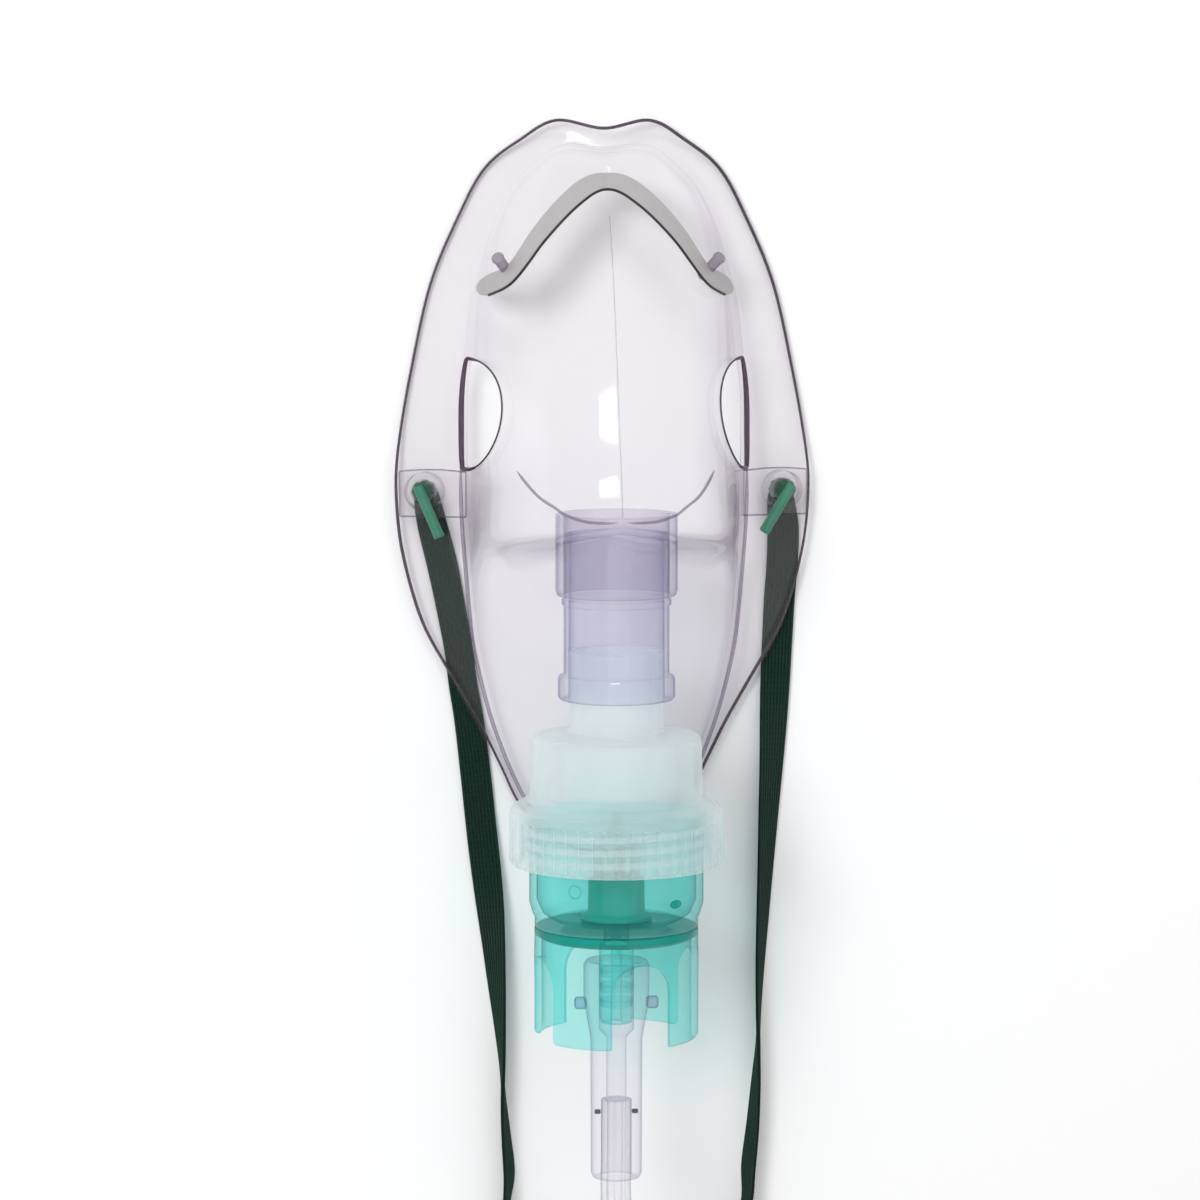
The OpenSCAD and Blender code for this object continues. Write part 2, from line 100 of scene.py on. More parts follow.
def clear(name, through, edge, body, haze=0.08, power=2.5, rough=0.06, gloss=1.0, bump=0.12, bscale=60.0, bdist=0.0003, mottle=0.25):
    """Clear plastic: light passes tinted, more so where the wall is seen edge-on, with a little haze and a moulded gloss."""
    mat, nt, out = new_mat(name)
    bu, no = noise_bump(nt, bscale, bump, bdist)
    lw = N(nt, "ShaderNodeLayerWeight")
    lw.inputs["Blend"].default_value = 0.5
    nt.links.new(bu.outputs["Normal"], lw.inputs["Normal"])
    pw = N(nt, "ShaderNodeMath", operation="POWER")
    nt.links.new(lw.outputs["Facing"], pw.inputs[0])
    pw.inputs[1].default_value = power
    mix = N(nt, "ShaderNodeMix", data_type="RGBA")
    mix.inputs[6].default_value = (*through, 1)
    mix.inputs[7].default_value = (*edge, 1)
    nt.links.new(pw.outputs[0], mix.inputs[0])
    tr = N(nt, "ShaderNodeBsdfTransparent")
    nt.links.new(mix.outputs[2], tr.inputs["Color"])
    ramp = N(nt, "ShaderNodeMapRange")
    ramp.inputs["From Min"].default_value = 0.3
    ramp.inputs["From Max"].default_value = 0.75
    ramp.inputs["To Min"].default_value = haze * (1 - mottle)
    ramp.inputs["To Max"].default_value = haze * (1 + mottle)
    nt.links.new(no.outputs["Fac"], ramp.inputs["Value"])
    pr = N(nt, "ShaderNodeBsdfPrincipled")
    pr.inputs["Base Color"].default_value = (*body, 1)
    pr.inputs["Roughness"].default_value = 0.35
    nt.links.new(bu.outputs["Normal"], pr.inputs["Normal"])
    mx = N(nt, "ShaderNodeMixShader")
    nt.links.new(ramp.outputs["Result"], mx.inputs[0])
    nt.links.new(tr.outputs[0], mx.inputs[1])
    nt.links.new(pr.outputs[0], mx.inputs[2])
    gl = N(nt, "ShaderNodeBsdfGlossy")
    gl.inputs["Roughness"].default_value = rough
    gl.inputs["Color"].default_value = (gloss, gloss, gloss, 1)
    nt.links.new(bu.outputs["Normal"], gl.inputs["Normal"])
    p5 = N(nt, "ShaderNodeMath", operation="POWER")
    nt.links.new(lw.outputs["Facing"], p5.inputs[0])
    p5.inputs[1].default_value = 5.0
    fr = N(nt, "ShaderNodeMath", operation="MULTIPLY_ADD")
    nt.links.new(p5.outputs[0], fr.inputs[0])
    fr.inputs[1].default_value = 0.55 * gloss
    fr.inputs[2].default_value = 0.02
    m2 = N(nt, "ShaderNodeMixShader")
    nt.links.new(fr.outputs[0], m2.inputs[0])
    nt.links.new(mx.outputs[0], m2.inputs[1])
    nt.links.new(gl.outputs[0], m2.inputs[2])
    nt.links.new(m2.outputs[0], out.inputs["Surface"])
    return mat


def solid(name, c1, c2, rough=0.45, scale=40.0, bump=0.2, bdist=0.0002, metal=0.0, stretch=(1, 1, 1), sheen=0.0, rough2=None):
    mat, nt, out = new_mat(name)
    bu, no = noise_bump(nt, scale, bump, bdist, stretch=stretch)
    mix = N(nt, "ShaderNodeMix", data_type="RGBA")
    mix.inputs[6].default_value = (*c1, 1)
    mix.inputs[7].default_value = (*c2, 1)
    nt.links.new(no.outputs["Fac"], mix.inputs[0])
    pr = N(nt, "ShaderNodeBsdfPrincipled")
    nt.links.new(mix.outputs[2], pr.inputs["Base Color"])
    pr.inputs["Metallic"].default_value = metal
    pr.inputs["Sheen Weight"].default_value = sheen
    mr = N(nt, "ShaderNodeMapRange")
    mr.inputs["To Min"].default_value = rough
    mr.inputs["To Max"].default_value = rough2 if rough2 is not None else min(1, rough + 0.12)
    nt.links.new(no.outputs["Fac"], mr.inputs["Value"])
    nt.links.new(mr.outputs["Result"], pr.inputs["Roughness"])
    nt.links.new(bu.outputs["Normal"], pr.inputs["Normal"])
    nt.links.new(pr.outputs[0], out.inputs["Surface"])
    return mat


def milky(name, body, through, amount=0.5, rough=0.4, edge=0.25):
    """Milky translucent plastic: part of the light passes, part scatters in the wall."""
    mat, nt, out = new_mat(name)
    bu, no = noise_bump(nt, 90.0, 0.15, 0.00015)
    tr = N(nt, "ShaderNodeBsdfTransparent")
    tr.inputs["Color"].default_value = (*through, 1)
    tl = N(nt, "ShaderNodeBsdfTranslucent")
    tl.inputs["Color"].default_value = (*body, 1)
    pr = N(nt, "ShaderNodeBsdfPrincipled")
    c = N(nt, "ShaderNodeMix", data_type="RGBA")
    c.inputs[6].default_value = (*body, 1)
    c.inputs[7].default_value = (*[x * 0.96 for x in body], 1)
    nt.links.new(no.outputs["Fac"], c.inputs[0])
    nt.links.new(c.outputs[2], pr.inputs["Base Color"])
    pr.inputs["Roughness"].default_value = rough
    nt.links.new(bu.outputs["Normal"], pr.inputs["Normal"])
    sc = N(nt, "ShaderNodeMixShader")
    sc.inputs[0].default_value = 0.55
    nt.links.new(tl.outputs[0], sc.inputs[1])
    nt.links.new(pr.outputs[0], sc.inputs[2])
    lw = N(nt, "ShaderNodeLayerWeight")
    lw.inputs["Blend"].default_value = 0.5
    mr = N(nt, "ShaderNodeMapRange")
    mr.inputs["From Min"].default_value = 0.3
    mr.inputs["From Max"].default_value = 1.0
    mr.inputs["To Min"].default_value = 1 - amount
    mr.inputs["To Max"].default_value = min(1.0, 1 - amount + edge)
    nt.links.new(lw.outputs["Facing"], mr.inputs["Value"])
    mx = N(nt, "ShaderNodeMixShader")
    nt.links.new(mr.outputs["Result"], mx.inputs[0])
    nt.links.new(tr.outputs[0], mx.inputs[1])
    nt.links.new(sc.outputs[0], mx.inputs[2])
    nt.links.new(mx.outputs[0], out.inputs["Surface"])
    return mat


M = {
    "shell": clear("clear_vinyl", (0.972, 0.965, 0.972), (0.44, 0.38, 0.46), (0.55, 0.53, 0.58), haze=0.013, power=4.6, rough=0.08, bump=0.10),
    # painted shade: near-black tint for the dark lines along the clear rim and the vents' edges
    "rim": clear("vinyl_edge_painted_shade", (0.34, 0.27, 0.34), (0.07, 0.04, 0.07), (0.16, 0.12, 0.17), haze=0.20, power=1.2, rough=0.12, bump=0.05),
    # painted shade: darker tint for lines of shade along the mask's folds, the dome's lower edge and the tab pads'
    # edges
    "crease": clear("vinyl_fold_painted_shade", (0.76, 0.72, 0.77), (0.28, 0.24, 0.30), (0.45, 0.42, 0.50), haze=0.08, power=1.6, rough=0.08, bump=0.05),
    "faint": clear("vinyl_seam", (0.90, 0.88, 0.90), (0.66, 0.62, 0.68), (0.6, 0.58, 0.62), haze=0.03, power=1.6, rough=0.08, bump=0.05),
    "dark": solid("dark_edge", (0.012, 0.010, 0.013), (0.03, 0.028, 0.032), rough=0.3, scale=200),
    "tab": clear("vinyl_tab", (0.985, 0.980, 0.985), (0.42, 0.37, 0.44), (0.70, 0.68, 0.72), haze=0.02, power=3.8, rough=0.06),
    "peg": clear("vinyl_peg", (0.74, 0.71, 0.74), (0.26, 0.23, 0.28), (0.42, 0.40, 0.44), haze=0.22, power=1.5, rough=0.2),
    "socket": clear("violet_vinyl", (0.922, 0.910, 0.938), (0.50, 0.47, 0.62), (0.62, 0.60, 0.72), haze=0.08, power=3.2, rough=0.06, bump=0.16, bscale=110),
    "adapter": clear("adapter_vinyl", (0.932, 0.932, 0.960), (0.42, 0.42, 0.62), (0.68, 0.68, 0.80), haze=0.045, power=3.4, rough=0.05, bump=0.06),
    "cap": milky("milky_plastic", (0.950, 0.966, 0.974), (0.968, 0.985, 0.988), amount=0.69, rough=0.36, edge=0.40),
    "capin": milky("milky_inner", (0.93, 0.96, 0.968), (0.95, 0.98, 0.985), amount=0.72, rough=0.4, edge=0.4),
    "jar": clear("teal_clear", (0.715, 0.968, 0.955), (0.02, 0.55, 0.53), (0.20, 0.82, 0.76), haze=0.022, power=3.4, rough=0.05, bump=0.05),
    "floorjar": clear("teal_thick", (0.10, 0.76, 0.70), (0.0, 0.40, 0.36), (0.0, 0.62, 0.56), haze=0.12, power=1.8, rough=0.08, bump=0.05),
    "insert": solid("insert_plastic", (0.0, 0.29, 0.23), (0.0, 0.37, 0.30), rough=0.35, scale=60),
    "connector": clear("connector_vinyl", (0.968, 0.964, 0.976), (0.50, 0.46, 0.60), (0.84, 0.83, 0.89), haze=0.075, power=3.0, rough=0.08, bump=0.08),
    "lug": clear("lug_vinyl", (0.84, 0.83, 0.89), (0.28, 0.25, 0.42), (0.6, 0.58, 0.70), haze=0.2, power=1.5, rough=0.2),
    "tube": clear("tube_vinyl", (0.984, 0.982, 0.987), (0.52, 0.49, 0.57), (0.88, 0.88, 0.90), haze=0.07, power=2.8, rough=0.12, bump=0.05),
    "toggle": solid("toggle_plastic", (0.022, 0.150, 0.090), (0.050, 0.225, 0.145), rough=0.33, scale=350, bump=0.25),
    "metal": solid("clip_metal", (0.42, 0.41, 0.41), (0.50, 0.485, 0.485), rough=0.55, scale=900, bump=0.12, bdist=0.00005, metal=0.3, stretch=(1, 0.15, 1)),
}


# ------------------------------------------------------------------ mesh helpers
def link(name, verts, faces, mat, body, replaces=(), slot=None, smooth=True, sharp=38):
    me = bpy.data.meshes.new(name)
    me.from_pydata([tuple(v) for v in verts], [], faces)
    me.validate()
    bm = bmesh.new()
    bm.from_mesh(me)
    bmesh.ops.remove_doubles(bm, verts=bm.verts, dist=1e-7)
    bmesh.ops.recalc_face_normals(bm, faces=bm.faces)
    lim = math.radians(sharp)
    for e in bm.edges:
        if len(e.link_faces) == 2 and e.calc_face_angle(0) > lim:
            e.smooth = False
    for f in bm.faces:
        f.smooth = smooth
    bm.to_mesh(me)
    bm.free()
    ob = bpy.data.objects.new(name, me)
    bpy.context.scene.collection.objects.link(ob)
    for mm in (mat if isinstance(mat, (list, tuple)) else [mat]):
        me.materials.append(mm)
    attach(ob, body)
    if replaces:
        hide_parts(*replaces)
    return ob


def round_profile(pts, r=0.35, n=4):
    """Rounds each corner of a closed profile with an arc of about radius r."""
    out = []
    k = len(pts)
    for i in range(k):
        p = np.array(pts[i][:2], float)
        a = np.array(pts[i - 1][:2], float)
        b = np.array(pts[(i + 1) % k][:2], float)
        rr = pts[i][2] if len(pts[i]) > 2 else r
        da, db = a - p, b - p
        la, lb = np.linalg.norm(da), np.linalg.norm(db)
        if rr <= 0 or la < 1e-6 or lb < 1e-6:
            out.append(p)
            continue
        da, db = da / la, db / lb
        c = np.clip(np.dot(da, db), -1, 1)
        ang = math.acos(c)
        if ang > math.radians(172):
            out.append(p)
            continue
        t = min(rr / math.tan(ang / 2), la * 0.45, lb * 0.45)
        p0, p1 = p + da * t, p + db * t
        for j in range(n + 1):
            w = j / n
            out.append((1 - w) ** 2 * p0 + 2 * w * (1 - w) * p + w * w * p1)
    return out


def lathe_data(profile, segs=128, mod=None):
    """Revolves a closed profile of (radius, distance) about the nebuliser's axis. mod(r, d, a) may change the radius."""
    verts, faces = [], []
    k = len(profile)
    for s in range(segs):
        a = 2 * math.pi * s / segs
        for (r, d) in profile:
            rr = mod(r, d, a) if mod else r
            verts.append(axial(rr, a, d))
    for s in range(segs):
        t = (s + 1) % segs
        for i in range(k):
            j = (i + 1) % k
            faces.append((s * k + i, s * k + j, t * k + j, t * k + i))
    return verts, faces


def axial(r, a, d):
    """Radius, angle and distance towards the chin, about the nebuliser's axis. Angle 0 is +X and 90 degrees is +Z."""
    return P(r * math.cos(a), -d, AXIS + r * math.sin(a))


def lathe(name, pts, mat, body, r=0.35, segs=128, mod=None, **kw):
    prof = round_profile(pts, r)
    v, f = lathe_data(prof, segs, mod)
    return link(name, v, f, mat, body, **kw)


def knot(a, b, c, d, t):
    return 0.5 * (2 * b + (c - a) * t + (2 * a - 5 * b + 4 * c - d) * t * t + (3 * b - a - 3 * c + d) * t ** 3)


def spline(pts, n):
    """n+1 points on a Catmull-Rom curve through pts, spaced evenly in parameter."""
    p = np.array(pts, float)
    p = np.vstack([2 * p[0] - p[1], p, 2 * p[-1] - p[-2]])
    out = []
    for i in range(n + 1):
        t = i / n * (len(p) - 3)
        k = min(int(t), len(p) - 4)
        out.append(knot(p[k], p[k + 1], p[k + 2], p[k + 3], t - k))
    return np.array(out)


def even(line, n):
    """The same line with n+1 points evenly along its length."""
    line = np.array(line, float)
    s = np.concatenate([[0], np.cumsum(np.linalg.norm(np.diff(line[:, :3], axis=0), axis=1))])
    t = np.linspace(0, s[-1], n + 1)
    return np.column_stack([np.interp(t, s, line[:, k]) for k in range(line.shape[1])])


def tube_mesh(line, radius, sides=16, hollow=None, closed=False):
    """A tube along a line in metres, with parallel transport, with capped ends. hollow is the inner radius at each angle as a function."""
    line = np.array(line, float)
    n = len(line)
    tan = np.gradient(line, axis=0)
    tan /= np.linalg.norm(tan, axis=1)[:, None]
    ref = np.array([0, 0, 1.0]) if abs(tan[0][2]) < 0.9 else np.array([1.0, 0, 0])
    u = np.cross(tan[0], ref); u /= np.linalg.norm(u)
    verts, faces = [], []
    rad = (lambda i: radius) if not callable(radius) else radius
    for i in range(n):
        u = u - tan[i] * np.dot(u, tan[i]); u /= np.linalg.norm(u)
        w = np.cross(tan[i], u)
        for k in range(sides):
            a = 2 * math.pi * k / sides
            verts.append(line[i] + (u * math.cos(a) + w * math.sin(a)) * rad(i))
        if hollow:
            for k in range(sides):
                a = 2 * math.pi * k / sides
                verts.append(line[i] + (u * math.cos(a) + w * math.sin(a)) * hollow(a))
    m = sides * (2 if hollow else 1)
    for i in range(n - 1):
        for k in range(sides):
            j = (k + 1) % sides
            faces.append((i * m + k, i * m + j, (i + 1) * m + j, (i + 1) * m + k))
            if hollow:
                faces.append((i * m + sides + j, i * m + sides + k, (i + 1) * m + sides + k, (i + 1) * m + sides + j))
    for i, flip in ((0, False), (n - 1, True)):
        if hollow:
            for k in range(sides):
                j = (k + 1) % sides
                q = (i * m + k, i * m + sides + k, i * m + sides + j, i * m + j)
                faces.append(q[::-1] if flip else q)
        else:
            q = tuple(i * m + k for k in range(sides))
            faces.append(q if flip else q[::-1])
    return verts, faces


# ------------------------------------------------------------------ oxygen tube (a free cord)
TUBE_D = 6.4
RUN = [[0, -101.4, 38], [0, -112, 38], [0, -124, 38], [2, -140, 34], [8, -156, 25], [17, -172, 14.5], [27, -188, 6.5], [35.5, -204, 3.6], [40.2, -220, 3.25], [41.4, -236, 3.25]]
COIL_C = (0.0, -236.0)


def coil_line():
    """Nine turns, three beside each other in three layers, then up onto the coil and into the far connector."""
    radii = [41.4, 35.0, 28.6, 28.6, 35.0, 41.4, 41.4, 35.0, 30.5]
    layer = [3.25, 3.25, 3.25, 9.7, 9.7, 9.7, 16.15, 16.15, 16.15]
    pts = []
    for t in range(9):
        for k in range(48):
            f = k / 48
            r, z = radii[t], layer[t]
            if f > 0.80 and t < 8:
                w = (f - 0.80) / 0.20
                w = w * w * (3 - 2 * w)
                r, z = r + (radii[t + 1] - r) * w, z + (layer[t + 1] - z) * w
            if t == 8 and f >= 0.50:
                break
            a = -2 * math.pi * f
            pts.append((COIL_C[0] + r * math.cos(a), COIL_C[1] + r * math.sin(a), z))
    last = [(-30.9, -231, 16.4), (-28.5, -220, 18.2), (-20.5, -209.5, 21.6), (-8, -204.3, 24.2), (2, -204, 24.6), (10, -204, 24.6), (18, -204, 24.6)]
    return pts, last


turns, tail = coil_line()
head = [tuple(p) for p in spline(RUN, 90)]
tail_line = [tuple(p) for p in spline([turns[-2], turns[-1]] + tail, 60)][7:]
tube_line = np.array([tuple(P(*p)) for p in head[:-1] + turns + tail_line])
tube_line = even(tube_line, 900)
v, f = tube_mesh(tube_line, TUBE_D / 2000.0, sides=18)
tube = link("oxygen_tube", v, f, M["tube"], "tube", replaces=("oxygen_tube_run", "oxygen_tube_coil"), slot="tube_vinyl", sharp=60)

# the tube's ridged bore, seen through its wall near the connector
lum = even(spline([[0, -101.2, 38], [0, -112, 38], [0, -124, 38], [2, -140, 34], [8, -156, 25]], 60), 60)
lum = np.array([tuple(P(*p)) for p in lum])


def star(line, r, depth, lobes=5, sides=50):
    tan = np.gradient(line, axis=0)
    tan /= np.linalg.norm(tan, axis=1)[:, None]
    u = np.cross(tan[0], [0, 0, 1.0]); u /= np.linalg.norm(u)
    V, F = [], []
    for i in range(len(line)):
        u = u - tan[i] * np.dot(u, tan[i]); u /= np.linalg.norm(u)
        w = np.cross(tan[i], u)
        for k in range(sides):
            a = 2 * math.pi * k / sides
            rr = r - depth * (0.5 + 0.5 * math.cos(lobes * a)) ** 3
            V.append(line[i] + (u * math.cos(a) + w * math.sin(a)) * rr)
    for i in range(len(line) - 1):
        for k in range(sides):
            j = (k + 1) % sides
            F.append((i * sides + k, i * sides + j, (i + 1) * sides + j, (i + 1) * sides + k))
    F.append(tuple(range(sides))[::-1])
    F.append(tuple((len(line) - 1) * sides + k for k in range(sides)))
    return V, F


v, f = star(lum, 0.0021, 0.0007)
link("oxygen_tube_bore", v, f, M["tube"], "tube", slot="tube_vinyl", sharp=60)

# far connector, on the coil
def lathe_x(name, pts, mat, body, start, r=0.3, segs=64, **kw):
    prof = round_profile(pts, r)
    V, F = [], []
    k = len(prof)
    for s in range(segs):
        a = 2 * math.pi * s / segs
        for (rr, d) in prof:
            V.append(P(start[0] + d, start[1] + rr * math.cos(a), start[2] + rr * math.sin(a)))
    for s in range(segs):
        t = (s + 1) % segs
        for i in range(k):
            j = (i + 1) % k
            F.append((s * k + i, t * k + i, t * k + j, s * k + j))
    return link(name, V, F, mat, body, **kw)


far = lathe_x("far_end_connector", [(3.25, 0), (5.0, 0), (5.0, 16), (5.1, 26), (5.1, 36.5), (4.8, 38), (3.0, 38), (3.0, 26), (2.1, 25), (2.1, 12.2), (3.25, 12.0)],
              M["connector"], "tube", (6, -204, 24.6), replaces=("far_connector",), slot="connector_vinyl")


# ------------------------------------------------------------------ mask
ROWS = [
    [0, 101.5, 4.6, 0, 96.4, 6.0, 91.5, 10.2, .15, .45, .50],
    [10, 103.2, 2.6, 8.6, 97.0, 5.2, 91.0, 10.6, .15, .50, .50],
    [17.5, 99.2, 1.0, 14.6, 93.4, 4.4, 89.5, 12.0, .18, .60, .52],
    [25.2, 93.0, 0.0, 19.8, 87.8, 4.0, 86.0, 15.5, .22, .66, .54],
    [31.0, 82.5, 0.0, 23.8, 79.2, 4.0, 79.0, 21.6, .26, .70, .56],
    [37.0, 68.0, 0.0, 27.2, 66.6, 4.4, 67.5, 30.0, .30, .70, .56],
    [41.3, 49.0, 0.0, 29.2, 48.6, 5.2, 49.5, 39.5, .32, .70, .54],
    [43.6, 36.0, 0.6, 29.5, 36.0, 5.4, 37.5, 45.0, .30, .72, .50],
    [44.5, 28.0, 1.6, 29.5, 28.5, 5.6, 29.0, 49.4, .26, .72, .46],
    [44.4, 21.0, 1.9, 29.4, 22.0, 5.6, 23.2, 51.6, .22, .72, .44],
    [43.8, 14.5, 1.9, 29.2, 16.5, 5.6, 20.0, 50.4, .16, .62, .40],
    [42.8, 9.0, 1.9, 28.9, 11.0, 5.6, 17.8, 34.0, .12, .58, .36],
    [41.3, 3.0, 1.8, 28.5, 4.5, 5.6, 15.0, 22.6, .10, .60, .34],
    [39.4, -3.0, 1.7, 27.9, -2.5, 5.5, 6.0, 20.2, .10, .62, .36],
    [36.9, -8.5, 1.6, 27.1, -9.0, 5.4, -3.5, 18.2, .10, .64, .38],
    [31.4, -18.0, 1.6, 25.0, -18.5, 5.2, -13.5, 16.1, .12, .66, .40],
    [26.6, -26.5, 1.7, 22.4, -27.2, 4.9, -23.0, 14.2, .12, .66, .42],
    [22.2, -35.5, 1.6, 19.0, -36.0, 4.5, -31.5, 12.6, .14, .64, .44],
    [17.8, -44.5, 1.0, 15.0, -43.6, 4.0, -37.5, 11.4, .16, .60, .46],
    [10.6, -52.0, 0.1, 8.8, -49.2, 3.6, -41.5, 10.2, .18, .56, .48],
    [0.0, -55.0, 0.0, 0.0, -51.6, 3.5, -43.5, 9.6, .20, .54, .50],
]
ROWS = np.array(ROWS, float)
NR = len(ROWS) - 1
FLIP = np.array([-1, 1, 1, -1, 1, 1, 1, 1, 1, 1, 1.0])
SHELL_T = 1.4


def row(i):
    return ROWS[-i] * FLIP if i < 0 else ROWS[2 * NR - i] * FLIP if i > NR else ROWS[i]


def section(s):
    i = min(int(math.floor(s)), NR - 1)
    return knot(row(i - 1), row(i), row(i + 1), row(i + 2), s - i)


def inner(s, u):
    r = section(s)
    c = r[3:6]
    e = np.array([0, r[6], r[7]])
    if u <= 1:
        return np.array([r[0], r[1], max(r[2], 0)]) * (1 - u) + c * u + np.array([0, 0, -0.8 * u * (1 - u)])
    v = u - 1
    w = 1 - v
    p = c + (e - c) * np.array([r[8], r[8], r[9]])
    q = np.array([c[0] + (e[0] - c[0]) * r[10], c[1] + (e[1] - c[1]) * r[10], e[2]])
    return w ** 3 * c + 3 * w * w * v * p + 3 * w * v * v * q + v ** 3 * e


def facing(s, u):
    a, b, c, d = max(s - .04, 0), min(s + .04, NR), max(u - .03, 0), min(u + .03, 2)
    n = np.cross(inner(b, u) - inner(a, u), inner(s, d) - inner(s, c))
    if n[2] < 0:
        n = -n
    if s <= .001 or s >= NR - .001 or u >= 1.999:
        n = np.array([0, n[1], n[2]])
        if np.linalg.norm(n) < 1e-6:
            n = np.array([0, 0.3 if s < 1 else -0.1, 1])
    return n / max(np.linalg.norm(n), 1e-9)


def outer(s, u, h=SHELL_T):
    return inner(s, u) + h * facing(s, u)


def shell_mesh(sub=8, fl=6, wl=30):
    cols = 2 * NR * sub
    half = NR * sub
    nu = fl + wl

    def uu(j):
        return j / fl if j <= fl else 1 + (j - fl) / wl

    def vid(k, j):
        k %= cols
        return k * nu + j if j < nu else cols * nu + (cols - k if k > half else k)

    ins, outs = [], []
    for k in range(cols):
        s = (cols - k if k > half else k) / sub
        for j in range(nu):
            a, b = inner(s, uu(j)), outer(s, uu(j))
            if k > half:
                a, b = a * [-1, 1, 1], b * [-1, 1, 1]
            ins.append(a); outs.append(b)
    for k in range(half + 1):
        ins.append(inner(k / sub, 2)); outs.append(outer(k / sub, 2))
    n = len(ins)
    F = []
    for k in range(cols):
        for j in range(nu):
            q = []
            for x in (vid(k, j), vid(k + 1, j), vid(k + 1, j + 1), vid(k, j + 1)):
                if x not in q:
                    q.append(x)
            if len(q) > 2:
                F.append(tuple(q))
                F.append(tuple(x + n for x in reversed(q)))
        a, b = vid(k, 0), vid(k + 1, 0)
        F.append((b, a, a + n, b + n))
    return [P(*p) for p in ins + outs], F


def prism(outline, thick):
    """A closed prism: outline is a list of (x, y), extruded both ways along z by thick / 2."""
    k = len(outline)
    V = [Vector((x, y, -thick / 2)) for x, y in outline] + [Vector((x, y, thick / 2)) for x, y in outline]
    F = [tuple(range(k))[::-1], tuple(range(k, 2 * k))] + [(i, (i + 1) % k, k + (i + 1) % k, k + i) for i in range(k)]
    return V, F


def cutter(name, V, F, mat4):
    me = bpy.data.meshes.new(name)
    me.from_pydata([tuple(mat4 @ v) for v in V], [], F)
    bm = bmesh.new(); bm.from_mesh(me)
    bmesh.ops.recalc_face_normals(bm, faces=bm.faces)
    bm.to_mesh(me); bm.free()
    o = bpy.data.objects.new(name, me)
    bpy.context.scene.collection.objects.link(o)
    return o


def d_outline(length, height, bulge=1.7):
    """D shape with rounded ends: a high arch on one side, a shallow one on the other. x is the low-high way, y the length."""
    pts = []
    for k in range(60):
        t = math.pi * k / 60
        pts.append((-height / 2 + height * abs(math.sin(t)) ** 0.88, length / 2 * math.cos(t)))
    for k in range(60):
        t = math.pi + math.pi * k / 60
        pts.append((-height / 2 - bulge * abs(math.sin(t)) ** 0.8, length / 2 * math.cos(t)))
    return pts


def rot(axis, deg):
    return Matrix.Rotation(math.radians(deg), 4, axis)


def move(x, y, z):
    return Matrix.Translation((x, y, z))


MM = Matrix.Diagonal((0.001, 0.001, 0.001, 1))
MIRROR = Matrix.Diagonal((-1, 1, 1, 1))
TO_ROW = MM @ move(0, SHIFT, 0)
TAB = move(38.4, 24.2, 4.3) @ rot("Y", 15)


def cut_and_read(ob, cutters):
    for c in cutters:
        md = ob.modifiers.new("cut", "BOOLEAN")
        md.operation, md.object, md.solver = "DIFFERENCE", c, "EXACT"
    dg = bpy.context.evaluated_depsgraph_get()
    ev = ob.evaluated_get(dg)
    me = bpy.data.meshes.new_from_object(ev)
    V = [x.co.copy() for x in me.vertices]
    F = [tuple(p.vertices) for p in me.polygons]
    bpy.data.meshes.remove(me)
    bpy.data.objects.remove(ob)
    for c in cutters:
        bpy.data.objects.remove(c)
    return V, F


V, F = shell_mesh()
raw = cutter("raw_shell", V, F, Matrix.Identity(4))
cuts = []
VENT = move(25.8, 41, 16.6) @ rot("Y", 68)
for side in (Matrix.Identity(4), MIRROR):
    V, F = prism([(-x, y) for x, y in d_outline(23.5, 19.0)], 24)
    cuts.append(cutter("cut_vent", V, F, TO_ROW @ side @ VENT))
    V, F = prism([(4.2 * math.cos(a), 4.2 * math.sin(a)) for a in np.linspace(0, 2 * math.pi, 49)[:-1]], 9)
    cuts.append(cutter("cut_eye", V, F, TO_ROW @ side @ TAB))
V, F = prism([(12.72 * math.cos(a), 12.72 * math.sin(a)) for a in np.linspace(0, 2 * math.pi, 129)[:-1]], 14)
cuts.append(cutter("cut_port", V, F, TO_ROW @ move(0, 16.5, AXIS) @ rot("X", 90)))
from mathutils.bvhtree import BVHTree
skin = BVHTree.FromPolygons([v.co.copy() for v in raw.data.vertices], [tuple(q.vertices) for q in raw.data.polygons])
vent_edges = []
for side in (Matrix.Identity(4), MIRROR):
    mat4 = TO_ROW @ side @ VENT
    way = ((mat4 @ Vector((0, 0, -1))) - (mat4 @ Vector((0, 0, 0)))).normalized()
    for lift in (14.0,):
        loop = []
        for x, y in d_outline(23.5, 19.0):
            hit = skin.ray_cast(mat4 @ Vector((-x, y, lift)), way, 0.06)
            if hit[0] is not None:
                loop.append(hit[0] - way * 0.0001)
        vent_edges.append(loop)
V, F = cut_and_read(raw, cuts)
shell = link("mask_shell_moulding", V, F, M["shell"], "mask", replaces=("mask_shell",), slot="clear_vinyl", sharp=50)

# rolled rim: a fine bead along the mask's whole edge, tinted near-black as painted shade for the dark line seen along
# the clear rim
rim_line = []
for k in range(2 * NR * 10):
    h = NR * 10
    s = (2 * h - k if k > h else k) / 10
    p = inner(s, 0) + np.array([0, 0, 0.75])
    p[:2] *= 1.0
    if k > h:
        p = p * [-1, 1, 1]
    rim_line.append(tuple(P(*p)))


